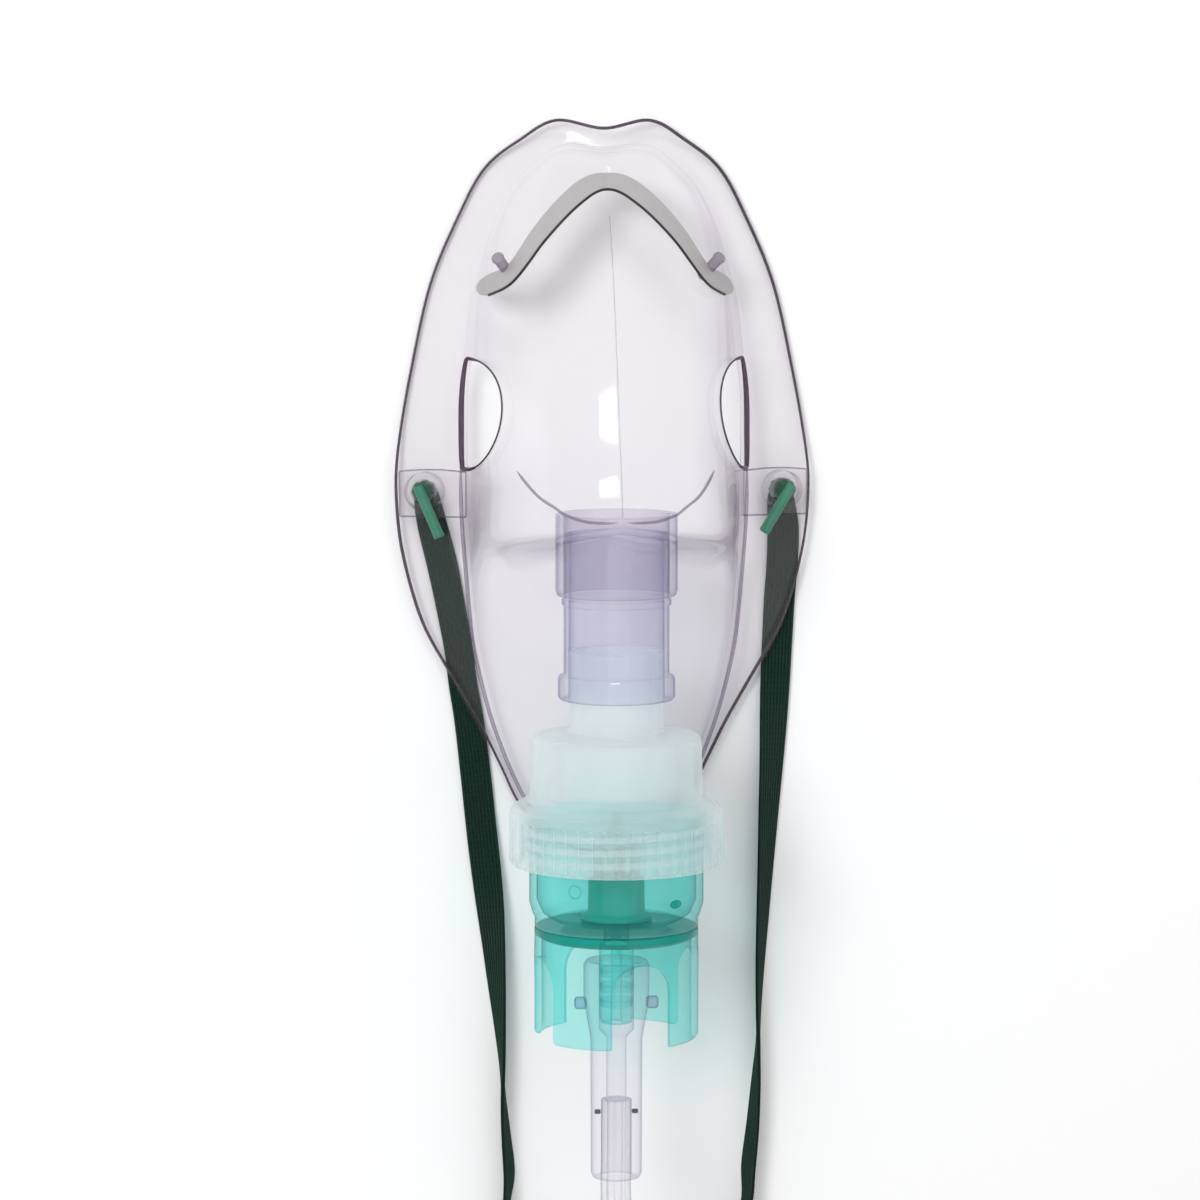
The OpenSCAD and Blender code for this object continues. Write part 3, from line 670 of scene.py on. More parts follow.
def loop_tube(line, r, sides=10, squash=1.0):
    line = np.array(line)
    n = len(line)
    tan = np.roll(line, -1, 0) - np.roll(line, 1, 0)
    tan /= np.linalg.norm(tan, axis=1)[:, None]
    V, F = [], []
    for i in range(n):
        u = np.cross(tan[i], [0, 0, 1.0]); u /= np.linalg.norm(u)
        w = np.cross(tan[i], u)
        ri = r(i / n) if callable(r) else r
        for k in range(sides):
            a = 2 * math.pi * k / sides
            V.append(line[i] + u * math.cos(a) * ri * squash + w * math.sin(a) * ri)
    for i in range(n):
        for k in range(sides):
            j = (k + 1) % sides
            t = (i + 1) % n
            F.append((i * sides + k, i * sides + j, t * sides + j, t * sides + k))
    return V, F


V, F = loop_tube(rim_line, lambda t: 0.00064 + 0.00010 * math.sin(2 * math.pi * (3 * t + 0.1)), squash=0.50)
link("mask_rim_bead", V, F, M["rim"], "mask", slot="clear_vinyl", sharp=80)

# painted shade: dark lines round the two vents, thicker on one side so that side reads darker
for nm, loop in zip(("left", "right"), vent_edges):
    line = [tuple(p) for p in loop]
    keep = [line[0]]
    for q in line[1:]:
        if math.dist(q, keep[-1]) > 0.0003:
            keep.append(q)
    if math.dist(keep[0], keep[-1]) < 0.0003:
        keep.pop()
    V, F = loop_tube(even(np.array(keep + [keep[0]]), 120)[:-1], lambda t: 0.00020 + 0.00042 * max(0.0, math.sin(2 * math.pi * (t - 0.56))) ** 0.6)
    link(nm + "_vent_edge", V, F, M["rim"], "mask", slot="clear_vinyl", sharp=80)


def thread_along(name, pts, r, mat):
    """A fine raised line on the mask's outside, along (s, u) points and their mirror image."""
    for sx, nm in ((1, "left"), (-1, "right")):
        line = np.array([outer(q[0], min(q[1], 2), SHELL_T * 0.92) * [sx, 1, 1] for q in spline(pts, 60)])
        line = np.array([tuple(P(*q)) for q in even(line, 90)])
        n = len(line)
        V, F = tube_mesh(line, lambda i: r * min(1.0, 0.25 + min(i, n - 1 - i) / 12), 8)
        link(nm + "_" + name, V, F, mat, "mask", slot="clear_vinyl", sharp=80)


# painted shade: darker tinted lines along the fold between flange and wall and along the dome's lower edge
thread_along("wall_fold", [[s, 0.985] for s in (7.5, 9, 10.5, 12, 13.5, 15, 16.5, 18, 19.2)], 0.00042, M["crease"])
thread_along("dome_lower_edge", [[9.5, 1.98], [9.5, 1.94], [9.4, 1.85], [9.15, 1.77], [8.8, 1.69], [8.5, 1.60], [8.15, 1.52], [7.75, 1.43]], 0.00030, M["crease"])
line = np.array([tuple(P(*outer(s, 2, SHELL_T))) for s in np.linspace(3.6, 9.3, 90)])
V, F = tube_mesh(line, 0.00011, 6)
link("mould_parting_line", V, F, M["faint"], "mask", slot="clear_vinyl", sharp=80)

# socket, one with the mask
lathe("port_socket_moulding", [(11.05, -22, .2), (11.05, -5, .3), (12.35, -5, .4), (12.7, -6.2, .5), (12.66, -20, 0), (12.66, -22, .2)], M["socket"], "mask", replaces=("port_socket",), slot="violet_vinyl")

# strap tabs
def tab_solid(side, name, node):
    mat4 = TO_ROW @ side @ TAB
    out = [(-9.4, -5.3), (5.0, -5.3), (5.2, 2.0), (5.2, 4.3)]
    arc = [(5.2 - 14.6 * k / 14, 4.3 + 1.6 * math.sin(math.pi * (0.25 + 0.5 * k / 14)) - 1.1) for k in range(15)]
    out = [(-9.4, -5.3), (5.1, -5.3)] + arc
    V, F = prism(out, 1.9)
    V = [v + Vector((0, 0, 1.0)) for v in V]
    pad = cutter("pad", V, F, mat4)
    V, F = prism([(2.45 * math.cos(a), 2.45 * math.sin(a)) for a in np.linspace(0, 2 * math.pi, 65)[:-1]], 12)
    hole = cutter("hole", V, F, mat4)
    V, F = cut_and_read(pad, [hole])
    o = link(name, V, F, M["tab"], "mask", replaces=(node,), slot="clear_vinyl", sharp=30)
    bv = o.modifiers.new("bevel", "BEVEL")
    bv.width, bv.segments, bv.limit_method, bv.angle_limit = 0.00035, 3, "ANGLE", math.radians(40)
    bv.harden_normals = False
    # painted shade: a fine dark line round the pad's top edge
    loop = [mat4 @ Vector((x, y, 1.95)) for x, y in out]
    line = even(np.array([tuple(q) for q in loop + [loop[0]]]), 160)[:-1]
    V, F = loop_tube(line, 0.00016, 6)
    link(name + "_edge", V, F, M["crease"], "mask", slot="clear_vinyl", sharp=80)
    # the raised ring round the eyelet
    prof = round_profile([(2.47, -1.4, .3), (4.1, -1.4, .1), (4.1, 2.2, .5), (3.7, 2.75, .4), (2.9, 2.75, .4), (2.47, 2.3, .4)])
    V, F = [], []
    k, n = len(prof), 64
    for s in range(n):
        a = 2 * math.pi * s / n
        for (r, z) in prof:
            V.append(mat4 @ Vector((r * math.cos(a), r * math.sin(a), z)))
    for s in range(n):
        for i in range(k):
            F.append((s * k + i, s * k + (i + 1) % k, ((s + 1) % n) * k + (i + 1) % k, ((s + 1) % n) * k + i))
    link(name + "_ring", V, F, M["tab"], "mask", slot="clear_vinyl", sharp=60)
    return o


tab_solid(Matrix.Identity(4), "left_tab_pad", "left_strap_tab")
tab_solid(MIRROR, "right_tab_pad", "right_strap_tab")

# nose clip and its studs
CLIP = [[4.95, 1.06], [4.88, 1.18], [4.76, 1.30], [4.5, 1.39], [4.15, 1.475], [3.7, 1.59], [3.15, 1.72], [2.65, 1.83], [2.32, 1.92], [2.2, 2.0]]


def clip_path(n=70):
    pts = spline(CLIP, n)
    half = [(outer(max(s, 0), min(u, 2), SHELL_T + 0.12), facing(max(s, 0), min(u, 2))) for s, u in pts]
    half[-1] = (half[-1][0] * [0, 1, 1], half[-1][1])
    full = half + [(p * [-1, 1, 1], q * [-1, 1, 1]) for p, q in reversed(half[:-1])]
    return full


def band_mesh(frames, width, thick, n_across=8, crown=0.0, round_ends=0.0):
    """frames: (centre, across, up, width scale) in mm. A closed strip with rounded edges."""
    V, F = [], []
    prof = []
    for k in range(n_across + 1):
        prof.append((-0.5 + k / n_across, 1))
    for k in range(n_across + 1):
        prof.append((0.5 - k / n_across, 0))
    m = len(prof)
    for (c, a, uvec, ws) in frames:
        for (x, t) in prof:
            edge = 1 - abs(2 * x) ** 8 * 0.5
            h = thick * (0.5 + (0.5 if t else -0.5) * edge) + crown * (1 - (2 * x) ** 2)
            V.append(P(*(c + a * x * width * ws + uvec * h)))
    n = len(frames)
    for i in range(n - 1):
        for k in range(m):
            j = (k + 1) % m
            F.append((i * m + k, i * m + j, (i + 1) * m + j, (i + 1) * m + k))
    F.append(tuple(range(m))[::-1])
    F.append(tuple((n - 1) * m + k for k in range(m)))
    return V, F


cp = clip_path()
frames = []
for i, (c, nrm) in enumerate(cp):
    g = cp[min(i + 1, len(cp) - 1)][0] - cp[max(i - 1, 0)][0]
    g /= np.linalg.norm(g)
    a = np.cross(nrm, g); a /= np.linalg.norm(a)
    d = min(i, len(cp) - 1 - i)
    ws = 1.0 if d > 7 else math.sqrt(max(0.02, 1 - (1 - (d + 0.3) / 7.3) ** 2))
    frames.append((c, a, nrm, ws))
V, F = band_mesh(frames, 4.7, 0.55)
link("nose_clip_strip", V, F, M["metal"], "mask", replaces=("nose_clip",), slot="clip_metal", sharp=60)

# painted shade: a near-black line along the clip's lower side edge only, the side away from the light
edge_line = []
for i, (c, a, nrm, ws) in enumerate(frames):
    way = -1 if (c + a)[1] > (c - a)[1] else 1
    edge_line.append(tuple(P(*(c + a * way * 2.38 * ws + nrm * 0.30))))
V, F = tube_mesh(even(np.array(edge_line[6:-6]), 160), 0.00030, 8)
link("nose_clip_painted_shade_edge", V, F, M["dark"], "mask", slot="clip_metal", sharp=80)

for sx, nm in ((1, "left"), (-1, "right")):
    V, F = [], []
    prof = round_profile([(0.01, 0, 0), (1.15, 0, 0.1), (1.2, 6.4, 0.1), (1.4, 6.6, .2), (1.3, 7.3, .4), (0.01, 7.5, 0)])
    k, n = len(prof), 24
    base = np.array([20.2, 70.2, 13.4])
    lean = np.array([3.3, 4.2, 4.6]); lean /= np.linalg.norm(lean)
    la = np.cross(lean, [0, 0, 1.0]); la /= np.linalg.norm(la)
    lb = np.cross(lean, la)
    for s in range(n):
        a = 2 * math.pi * s / n
        for (r, z) in prof:
            q = base + lean * z + (la * math.cos(a) + lb * math.sin(a)) * r
            V.append(P(sx * q[0], q[1], q[2]))
    for s in range(n):
        for i in range(k):
            F.append((s * k + i, s * k + (i + 1) % k, ((s + 1) % n) * k + (i + 1) % k, ((s + 1) % n) * k + i))
    link(nm + "_clip_peg", V, F, M["peg"], "mask", replaces=("clip_studs",), slot="clear_vinyl", sharp=60)

# ------------------------------------------------------------------ strap
def strap_material():
    mat, nt, out = new_mat("strap_elastic")
    uv = N(nt, "ShaderNodeUVMap"); uv.uv_map = "UVMap"
    sep = N(nt, "ShaderNodeSeparateXYZ")
    nt.links.new(uv.outputs["UV"], sep.inputs[0])

    def math_n(op, a, b=None):
        n = N(nt, "ShaderNodeMath", operation=op)
        for i, x in enumerate((a, b)):
            if x is None:
                continue
            if isinstance(x, (int, float)):
                n.inputs[i].default_value = x
            else:
                nt.links.new(x, n.inputs[i])
        return n.outputs[0]

    ribs = math_n("ABSOLUTE", math_n("SINE", math_n("MULTIPLY", sep.outputs["X"], math.pi * 9)))
    cross = math_n("ABSOLUTE", math_n("SINE", math_n("MULTIPLY", sep.outputs["Y"], math.pi / 0.0011)))
    weave = math_n("MULTIPLY", math_n("POWER", ribs, 0.6), math_n("ADD", math_n("MULTIPLY", cross, 0.35), 0.65))
    co = N(nt, "ShaderNodeTexCoord")
    no = N(nt, "ShaderNodeTexNoise")
    no.inputs["Scale"].default_value = 220
    nt.links.new(co.outputs["Object"], no.inputs["Vector"])
    # painted shade: the green is darker where the weave is low, in its grooves; the noise adds the yarn's own uneven
    # tone
    col = N(nt, "ShaderNodeMix", data_type="RGBA")
    col.inputs[6].default_value = (0.0006, 0.0060, 0.0034, 1)
    col.inputs[7].default_value = (0.0028, 0.030, 0.018, 1)
    fac = math_n("MULTIPLY", weave, math_n("ADD", math_n("MULTIPLY", no.outputs["Fac"], 0.6), 0.6))
    nt.links.new(fac, col.inputs[0])
    bu = N(nt, "ShaderNodeBump")
    bu.inputs["Strength"].default_value = 0.6
    bu.inputs["Distance"].default_value = 0.00025
    nt.links.new(weave, bu.inputs["Height"])
    pr = N(nt, "ShaderNodeBsdfPrincipled")
    pr.inputs["Roughness"].default_value = 0.78
    pr.inputs["Specular IOR Level"].default_value = 0.25
    pr.inputs["Sheen Weight"].default_value = 0.06
    pr.inputs["Sheen Roughness"].default_value = 0.5
    nt.links.new(col.outputs[2], pr.inputs["Base Color"])
    nt.links.new(bu.outputs["Normal"], pr.inputs["Normal"])
    nt.links.new(pr.outputs[0], out.inputs["Surface"])
    return mat


M["strap"] = strap_material()
# x, y, height of the lower edge, roll, width; wearer's right side first, then round the back to the left side
S_RIGHT = [[-38.4, 24.6, 2.6, 4, 4.2], [-37.9, 22.5, 1.2, 2, 5.6], [-36.8, 17, .35, 0, 6.4], [-34.6, 8, .05, 0, 6.6], [-33.0, 0, 0, 0, 6.4], [-31.2, -10, 0, 0, 6.2], [-30.2, -18, 0, 0, 6.2], [-28.9, -26, 0, 0, 6.4],
           [-27.5, -38, 0, 0, 6.6], [-26.3, -50, 0, 4, 6.6], [-24.9, -63, 0, 22, 6.6], [-24.0, -73, 0, 42, 6.6], [-23.2, -84, 0, 60, 6.6], [-22.5, -94, 0, 76, 6.6], [-22.1, -101, 0, 86, 6.6],
           [-21.8, -110, 0, 98, 6.6], [-21.2, -118, 0, 106, 6.6], [-20.6, -126, 0, 110, 6.6], [-21.2, -134, 0, 100, 6.6], [-20.6, -143, 0, 92, 6.6], [-15.5, -150.6, 0, 90, 6.6], [-6, -154.6, 0, 90, 6.6]]
S_LEFT = [[38.4, 24.6, 2.6, 4, 4.2], [38.6, 22.0, 1.2, 2, 5.8], [39.3, 16, .3, 0, 6.8], [39.2, 8, .0, 0, 6.8], [38.6, 0, 0, 0, 6.7], [38.1, -10, 0, 0, 6.6], [37.6, -20, 0, 12, 6.6], [36.9, -34, 0, 32, 6.6],
          [36.2, -46, 0, 44, 6.6], [35.6, -57, 0, 54, 6.6], [35.0, -68, 0, 62, 6.6], [34.4, -80, 0, 71, 6.6], [34.1, -90, 0, 79, 6.6], [34.0, -98, 0, 86, 6.6], [33.6, -106, 0, 96, 6.6],
          [32.9, -116, 0, 104, 6.6], [32.0, -125, 0, 108, 6.6], [31.6, -133, 0, 100, 6.6], [29.0, -143, 0, 92, 6.6], [21.5, -150.6, 0, 90, 6.6], [11, -154.6, 0, 90, 6.6]]
S_ALL = S_RIGHT + [[2.5, -155.6, 0, 90, 6.6]] + S_LEFT[::-1]
line = spline(S_ALL, 900)
STRAP_T = 0.95
tan = np.gradient(line[:, :2], axis=0)
tan /= np.linalg.norm(tan, axis=1)[:, None]
NA, RIBS = 54, 9
V, UV = [], []
dist = np.concatenate([[0], np.cumsum(np.linalg.norm(np.diff(line[:, :2], axis=0), axis=1))]) / 1000
prof = [(-0.5 + k / NA, 1) for k in range(NA + 1)] + [(0.5 - k / NA, -1) for k in range(NA + 1)]
for i, r in enumerate(line):
    g = np.array([tan[i][0], tan[i][1], 0])
    across = np.array([-g[1], g[0], 0])
    ro = math.radians(r[3])
    w = across * math.cos(ro) + np.array([0, 0, math.sin(ro)])
    h = np.cross(g, w)
    c = np.array([r[0], r[1], max(r[2], 0) + 0.03 + (r[4] * abs(w[2]) + STRAP_T * abs(h[2])) / 2])
    for (x, t) in prof:
        rib = abs(math.sin(math.pi * RIBS * (x + 0.5))) ** 0.7
        th = STRAP_T / 2 * (0.62 + 0.38 * rib) * (1 - 0.45 * abs(2 * x) ** 10)
        V.append(P(*(c + w * x * r[4] + h * t * th)))
m_ = len(prof)
F = []
for i in range(len(line) - 1):
    for k in range(m_):
        j = (k + 1) % m_
        F.append((i * m_ + k, i * m_ + j, (i + 1) * m_ + j, (i + 1) * m_ + k))
F.append(tuple(range(m_))[::-1])
F.append(tuple((len(line) - 1) * m_ + k for k in range(m_)))
strap = link("elastic_head_strap", V, F, M["strap"], "strap", replaces=("elastic_strap",), slot="strap_elastic", sharp=75)
uvl = strap.data.uv_layers.new(name="UVMap")
for poly in strap.data.polygons:
    for li in poly.loop_indices:
        vi = strap.data.loops[li].vertex_index
        i, k = divmod(vi, m_) if len(strap.data.vertices) == len(V) else (0, 0)
        uvl.data[li].uv = (prof[k][0] + 0.5, dist[i])

# ------------------------------------------------------------------ toggles
def toggle(side, turn, name, node, body):
    mat4 = TO_ROW @ side @ TAB
    V, F = [], []

    def add(prof, M4, n=28):
        k, base = len(prof), len(V)
        for s in range(n):
            a = 2 * math.pi * s / n
            for (r, z) in prof:
                V.append(mat4 @ M4 @ Vector((r * math.cos(a), r * math.sin(a), z)))
        for s in range(n):
            for i in range(k):
                F.append((base + s * k + i, base + s * k + (i + 1) % k, base + ((s + 1) % n) * k + (i + 1) % k, base + ((s + 1) % n) * k + i))

    rod = round_profile([(0.02, -1.5, 0), (1.05, -1.5, .35), (1.16, 1.5, 0), (1.13, 8.6, 0), (1.2, 10.3, .3), (0.72, 10.5, .2), (0.6, 9.9, .1), (0.02, 9.9, 0)])
    add(rod, move(0, 0, 4.3) @ rot("Z", turn) @ rot("X", 92))
    link(name, V, F, M["toggle"], body, replaces=(node,), slot="toggle_plastic", sharp=50)
    # the strap's crimped end, rising through the eyelet into the rod
    V2, F2 = [], []
    prof = round_profile([(0.02, -1.7, 0), (2.25, -1.7, .4), (2.3, 2.6, .8), (1.7, 3.9, .8), (0.9, 4.6, .3), (0.02, 4.8, 0)])
    k, n = len(prof), 48
    for s in range(n):
        a = 2 * math.pi * s / n
        for (r, z) in prof:
            q = r * (1 + 0.06 * math.cos(8 * a) * min(1, r))
            V2.append(mat4 @ Vector((min(q, 2.38) * math.cos(a), min(q, 2.38) * math.sin(a), z)))
    for s in range(n):
        for i in range(k):
            F2.append((s * k + i, s * k + (i + 1) % k, ((s + 1) % n) * k + (i + 1) % k, ((s + 1) % n) * k + i))
    o = link(name + "_crimp", V2, F2, M["strapend"], body, slot="strap_elastic", sharp=60)
    return o


M["strapend"] = solid("strap_end", (0.004, 0.035, 0.02), (0.012, 0.09, 0.052), rough=0.6, scale=600, bump=0.5, sheen=0.2)
toggle(Matrix.Identity(4), -32, "left_toggle_rod", "left_strap_toggle", "left_toggle")
toggle(MIRROR, -23, "right_toggle_rod", "right_strap_toggle", "right_toggle")

# ------------------------------------------------------------------ nebuliser
lathe("port_adapter_moulding", [(9.95, -18, .1), (10.4, -18, .3), (11, -17, .5), (11, -4.45, .1), (11.4, -4.25, .15), (11.4, -3.15, .15), (11.0, -2.95, .1), (11.0, 11.3, .4), (11.9, 11.7, .3),
                                (12.2, 12.3, .4), (12.2, 16.1, .4), (11.7, 16.7, .4), (10.0, 16.7, .1)], M["adapter"], "cap", replaces=("port_adapter",), slot="violet_vinyl", segs=160)


def knurl(r, d, a):
    """48 scallops round the collar's outside."""
    if r < 21.6 or d < 41.4 or d > 50.4:
        return r
    k = 0.5 + 0.5 * math.cos(48 * a)
    return r - 0.62 * (1 - k) ** 3


CAP = [(8.4, 6.5, .2), (9.85, 6.5, .3), (9.85, 23.6, .5), (16.4, 24.0, .4), (17.4, 24.5, .4), (17.75, 25.7, .4), (18.05, 36.4, .8), (19.1, 37.7, .8), (21.2, 38.8, .4), (22.05, 39.6, .5), (22.4, 41.2, .3),
       (22.4, 41.6, 0), (22.4, 44.5, 0), (22.4, 47.5, 0), (22.4, 49.7, 0), (22.35, 50.3, .3), (21.7, 51.2, .4), (20.4, 51.2, .2), (20.0, 50.6, .2), (20.0, 41.4, .2), (18.6, 40.6, .2), (16.2, 38.4, .2), (16.2, 25.9, .2),
       (9.9, 25.6, .2), (9.9, 36.8, .2), (8.4, 37.0, .2)]
lathe("nebulizer_cap_moulding", CAP, M["cap"], "cap", replaces=("nebulizer_cap",), slot="milky_plastic", segs=768, mod=knurl)


def helix(name, r0, r1, base, tip, d0, turns, mat, body, node, slot, pitch=2.7):
    V, F = [], []
    n = int(turns * 96)
    for i in range(n + 1):
        a = 2 * math.pi * i / 96
        d = d0 + pitch * i / 96
        grow = min(1, i / 14, (n - i) / 14)
        rr = r0 + (r1 - r0) * max(grow, 0.03)
        for (r, o) in ((r0, -base / 2), (r0, base / 2), (r0 + (rr - r0) * .85, tip / 2 + .08), (rr, tip / 2 - .08), (rr, -tip / 2 + .08), (r0 + (rr - r0) * .85, -tip / 2 - .08)):
            V.append(axial(r, a, d + o))
    for i in range(n):
        for k in range(6):
            j = (k + 1) % 6
            F.append((i * 6 + k, i * 6 + j, (i + 1) * 6 + j, (i + 1) * 6 + k))
    F.append(tuple(range(6))[::-1])
    F.append(tuple(n * 6 + k for k in range(6)))
    return link(name, V, F, mat, body, replaces=(node,), slot=slot, sharp=50)


helix("cap_thread_ridge", 20.03, 18.95, 1.25, 0.7, 42.6, 2.6, M["capin"], "cap", "cap_thread", "milky_plastic")


def merge(parts):
    V, F = [], []
    for v, f in parts:
        b = len(V)
        V += list(v)
        F += [tuple(i + b for i in q) for q in f]
    return V, F


def plate(a_deg, r0, r1, width, d0, d1, chamfer=0.12):
    """A flat plate that stands out from the axis at an angle."""
    a = math.radians(a_deg)
    out, acr = np.array([math.cos(a), 0, math.sin(a)]), np.array([-math.sin(a), 0, math.cos(a)])
    V = []
    c = chamfer
    oct_ = lambda ins: [(-width / 2 + ins + c, d0 + ins), (width / 2 - ins - c, d0 + ins), (width / 2 - ins, d0 + ins + c), (width / 2 - ins, d1 - ins - c),
                        (width / 2 - ins - c, d1 - ins), (-width / 2 + ins + c, d1 - ins), (-width / 2 + ins, d1 - ins - c), (-width / 2 + ins, d0 + ins + c)]
    for r, ins in ((r0, c), (r0 + c, 0), (r1 - c, 0), (r1, c)):
        for w, d in oct_(ins):
            p = out * r + acr * w
            V.append(P(p[0], -d, AXIS + p[2]))
    F = [tuple(range(8))[::-1], tuple(24 + k for k in range(8))]
    for i in range(3):
        for k in range(8):
            j = (k + 1) % 8
            F.append((i * 8 + k, i * 8 + j, (i + 1) * 8 + j, (i + 1) * 8 + k))
    return V, F


V, F = merge([plate(45 + 90 * i, 9.87, 15.87, 1.0, 25.9, 33.9) for i in range(4)])
link("cap_baffle_plates", V, F, M["capin"], "cap", replaces=("cap_baffle_ring",), slot="milky_plastic", sharp=30)

# jet insert: a green cup whose wall has four ports, with the baffle above it on four posts
INSERT = [(3.9, 62.9, .2), (7.4, 62.9, .3), (7.4, 62.1, .2), (5.95, 61.7, .3), (5.85, 54.6, .4), (5.2, 54.0, .4), (2.6, 54.0, .1), (2.6, 56.0, .2), (3.9, 61.0, .3)]
lathe("jet_insert_cup", INSERT, M["insert"], "insert", replaces=("jet_insert",), slot="insert_plastic", segs=96)
parts = []
prof = round_profile([(0.05, 40.4, 0), (0.7, 40.5, .2), (2.2, 46.0, .3), (4.6, 46.0, .25), (4.6, 47.0, .25), (0.05, 47.0, 0)])
parts.append(lathe_data(prof, 72))
for i in range(4):
    parts.append(plate(20 + 90 * i, 3.1, 5.0, 1.4, 46.6, 54.3))
V, F = merge(parts)
link("insert_baffle_plate", V, F, M["insert"], "insert", replaces=("insert_baffle",), slot="insert_plastic", sharp=40)

# jar: cup, thick floor, skirt with four arches
JAR = [(0.05, 63.2, 0), (13, 63.0, .6), (15.5, 61.4, .8), (16.7, 58.6, .8), (16.7, 40.6, .3), (18.2, 40.6, .3), (18.2, 59.2, .8), (17.5, 61.6, .6), (17.1, 62.4, .3), (17.1, 64.2, .1), (15.7, 64.4, .1), (0.05, 64.6, 0)]
lathe("nebulizer_jar_cup", JAR, M["jar"], "jar", replaces=("nebulizer_jar",), slot="teal_clear", segs=160)
FLOOR = [(2.6, 64.75, .1), (15.6, 64.6, .3), (17.12, 64.4, .3), (17.12, 65.9, .2), (15.75, 66.7, .3), (4.0, 68.2, .4), (2.6, 68.2, .1)]
lathe("jar_thick_floor", FLOOR, M["floorjar"], "jar", slot="teal_clear", segs=128)
helix("jar_thread_ridge", 18.17, 19.2, 1.1, 0.6, 41.35, 2.55, M["jar"], "jar", "jar_thread", "teal_clear")


def skirt_legs():
    """Closed ring, then arches cut with a boolean."""
    prof = round_profile([(15.7, 64.5, .1), (17.05, 64.5, .1), (17.2, 70, 0), (17.2, 86.9, .5), (16.7, 87.7, .5), (15.95, 87.7, .4), (15.75, 87.0, .2), (15.7, 70, 0)])
    V, F = lathe_data(prof, 240)
    ring = cutter("ring", V, F, Matrix.Identity(4))
    cuts = []
    for i in range(4):
        a = math.radians(76 + 90 * i)
        pts = [(-6.3, 95.0)]
        for k in range(41):
            t = math.pi * k / 40
            pts.append((-6.3 * math.cos(t), 76.3 - 6.3 * math.sin(t)))
        pts.append((6.3, 95.0))
        out, acr = np.array([math.cos(a), 0, math.sin(a)]), np.array([-math.sin(a), 0, math.cos(a)])
        CV, n = [], len(pts)
        for r in (9.0, 22.0):
            for (w, d) in pts:
                p = out * r + acr * w
                CV.append(P(p[0], -d, AXIS + p[2]))
        CF = [tuple(range(n))[::-1], tuple(range(n, 2 * n))] + [(k, (k + 1) % n, n + (k + 1) % n, n + k) for k in range(n)]
        cuts.append(cutter("arch", CV, CF, Matrix.Identity(4)))
    return cut_and_read(ring, cuts)


V, F = skirt_legs()
sk = link("jar_skirt_legs", V, F, M["jar"], "jar", replaces=("jar_skirt",), slot="teal_clear", sharp=35)
bv = sk.modifiers.new("bevel", "BEVEL")
bv.width, bv.segments, bv.limit_method, bv.angle_limit = 0.00022, 2, "ANGLE", math.radians(50)

NOZZLE = [(0.36, 49.0, 0), (1.1, 49.0, .2), (1.6, 50.0, .3), (2.1, 56.0, .2), (2.56, 60.0, .2), (2.56, 68.3, 0), (3.5, 68.3, .3), (3.6, 69.6, .2), (3.6, 83.4, .3), (3.2, 85.0, .3), (1.15, 85.0, .2), (1.1, 57.0, .2), (0.36, 55.5, 0)]
lathe("jar_nozzle_stem", NOZZLE, M["jar"], "jar", replaces=("jar_nozzle",), slot="teal_clear", segs=64)
for k, rr in ((0, 3.62), (1, 3.62), (2, 3.62)):
    d = 73.5 + 3.2 * k
    lathe("stem_barb_%d" % k, [(3.3, d, 0), (rr + .02, d + .1, .1), (rr + .06, d + .5, .1), (3.3, d + 1.6, 0)], M["jar"], "jar", slot="teal_clear", segs=64)

# connector over the stem
CONN = [(3.68, 72.5, .2), (6.35, 71.7, .3), (6.9, 72.6, .4), (6.9, 79.8, .8), (6.55, 82.0, .8), (5.75, 86.6, .6), (5.45, 88.6, .8), (5.4, 104, 0), (5.35, 117.0, .4), (4.9, 118.0, .4), (3.22, 118.0, .2), (3.22, 101.5, .1), (2.1, 101.2, .2), (2.1, 88.2, .2), (3.68, 86.4, .3)]
lathe("tube_connector_sleeve", CONN, M["connector"], "tube", replaces=("tube_connector",), slot="connector_vinyl", segs=96)
V, F = merge([plate(a, 6.3, 8.8, 2.0, 79.6, 82.0, 0.35) for a in (0, 180)])
link("connector_side_lugs", V, F, M["lug"], "tube", replaces=("connector_lugs",), slot="connector_vinyl", sharp=40)

V, F = merge([plate(a, 3.3, 4.6, 0.8, 103.6, 104.5, 0.15) for a in (0, 180)])
link("connector_gate_marks", V, F, M["dark"], "tube", slot="connector_vinyl", sharp=40)

# small round moulding mark and a thick spot on the jar's wall
def on_jar(a_deg, d, r=18.2):
    a = math.radians(a_deg)
    return np.array(tuple(axial(r, a, d))), np.array([-math.sin(a), 0, math.cos(a)]), np.array([0, -1.0, 0]), np.array([math.cos(a), 0, math.sin(a)])


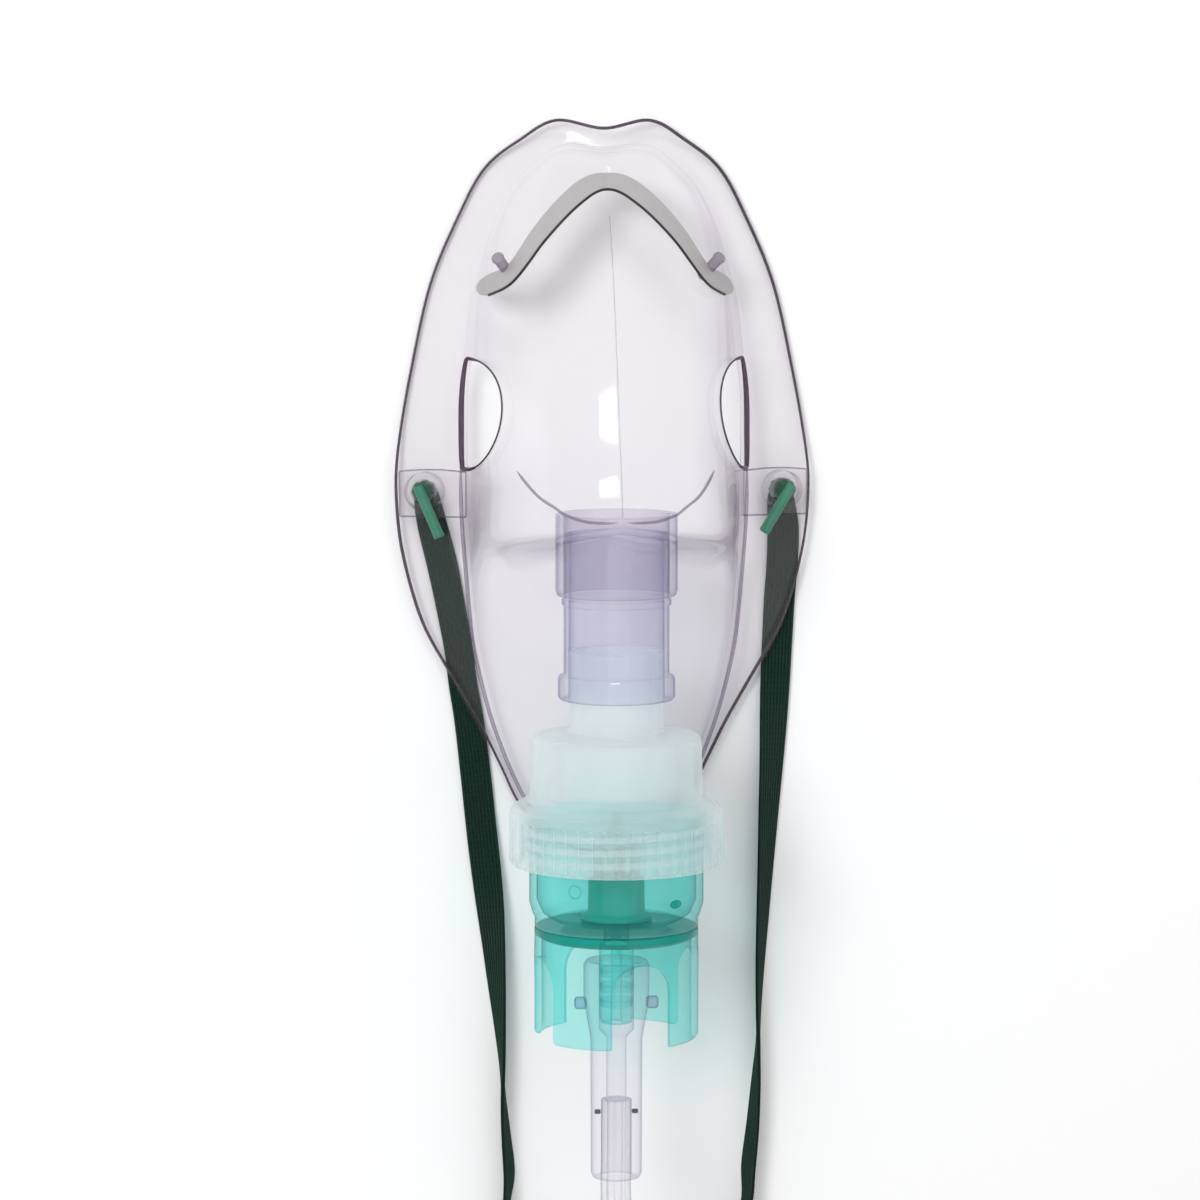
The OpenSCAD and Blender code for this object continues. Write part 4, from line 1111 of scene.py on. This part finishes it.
c, e1, e2, e3 = on_jar(122.6, 54.6, 18.25)
loop = [c + (e1 * math.cos(t) + e2 * math.sin(t)) * 0.00135 - e3 * (0.0182 - math.sqrt(0.0182 ** 2 - (0.00135 * math.cos(t)) ** 2)) for t in np.linspace(0, 2 * math.pi, 41)[:-1]]
V, F = loop_tube(loop, 0.00016, 6)
link("jar_round_mark", V, F, M["jar"], "jar", slot="teal_clear", sharp=80)
c, e1, e2, e3 = on_jar(52.0, 57.6, 18.0)
V, F = [], []
for i in range(9):
    for k in range(20):
        t, f = math.pi * i / 8, 2 * math.pi * k / 20
        V.append(c + e1 * 0.0016 * math.sin(t) * math.cos(f) + e2 * 0.0009 * math.sin(t) * math.sin(f) + e3 * 0.0004 * math.cos(t))
for i in range(8):
    for k in range(20):
        F.append((i * 20 + k, i * 20 + (k + 1) % 20, (i + 1) * 20 + (k + 1) % 20, (i + 1) * 20 + k))
link("jar_thick_spot", V, F, M["floorjar"], "jar", slot="teal_clear", sharp=80)

# ------------------------------------------------------------------ surroundings
fm, nt, out = new_mat("floor_white")
pr = N(nt, "ShaderNodeBsdfPrincipled")
pr.inputs["Base Color"].default_value = (0.90, 0.90, 0.905, 1)
pr.inputs["Roughness"].default_value = 0.7
pr.inputs["Specular IOR Level"].default_value = 0.2
nt.links.new(pr.outputs[0], out.inputs["Surface"])
me = bpy.data.meshes.new("floor")
me.from_pydata([(-4, -4, -0.0004), (4, -4, -0.0004), (4, 4, -0.0004), (-4, 4, -0.0004)], [], [(0, 1, 2, 3)])
me.materials.append(fm)
floor = bpy.data.objects.new("floor", me)
bpy.context.scene.collection.objects.link(floor)


def softbox(name, loc, aim, size, power, colour=(1, 1, 1)):
    li = bpy.data.lights.new(name, "AREA")
    li.shape, li.size, li.size_y, li.energy, li.color = "RECTANGLE", size[0], size[1], power, colour
    o = bpy.data.objects.new(name, li)
    bpy.context.scene.collection.objects.link(o)
    o.location = loc
    o.rotation_euler = (Vector(aim) - Vector(loc)).to_track_quat("-Z", "Y").to_euler()
    return o


key = softbox("key", (-0.48, 0.36, 0.95), (0, 0, 0.02), (0.34, 0.34), 5.2)
key.visible_glossy = False
softbox("glint", (-0.10, 0.80, 0.80), (0, 0, 0.02), (0.30, 0.14), 1.3)
softbox("fill", (0.9, -0.35, 1.1), (0, 0, 0.02), (1.2, 1.2), 1.8)
softbox("top", (0.0, 0.25, 1.6), (0, 0, 0.0), (1.4, 1.4), 4.2)
w = bpy.data.worlds.new("studio")
bpy.context.scene.world = w
w.use_nodes = True
w.node_tree.nodes["Background"].inputs[0].default_value = (1, 1, 1, 1)
w.node_tree.nodes["Background"].inputs[1].default_value = 0.57
bpy.context.scene.view_settings.view_transform = "Standard"
bpy.context.scene.cycles.transparent_max_bounces = 40
bpy.context.scene.cycles.max_bounces = 12
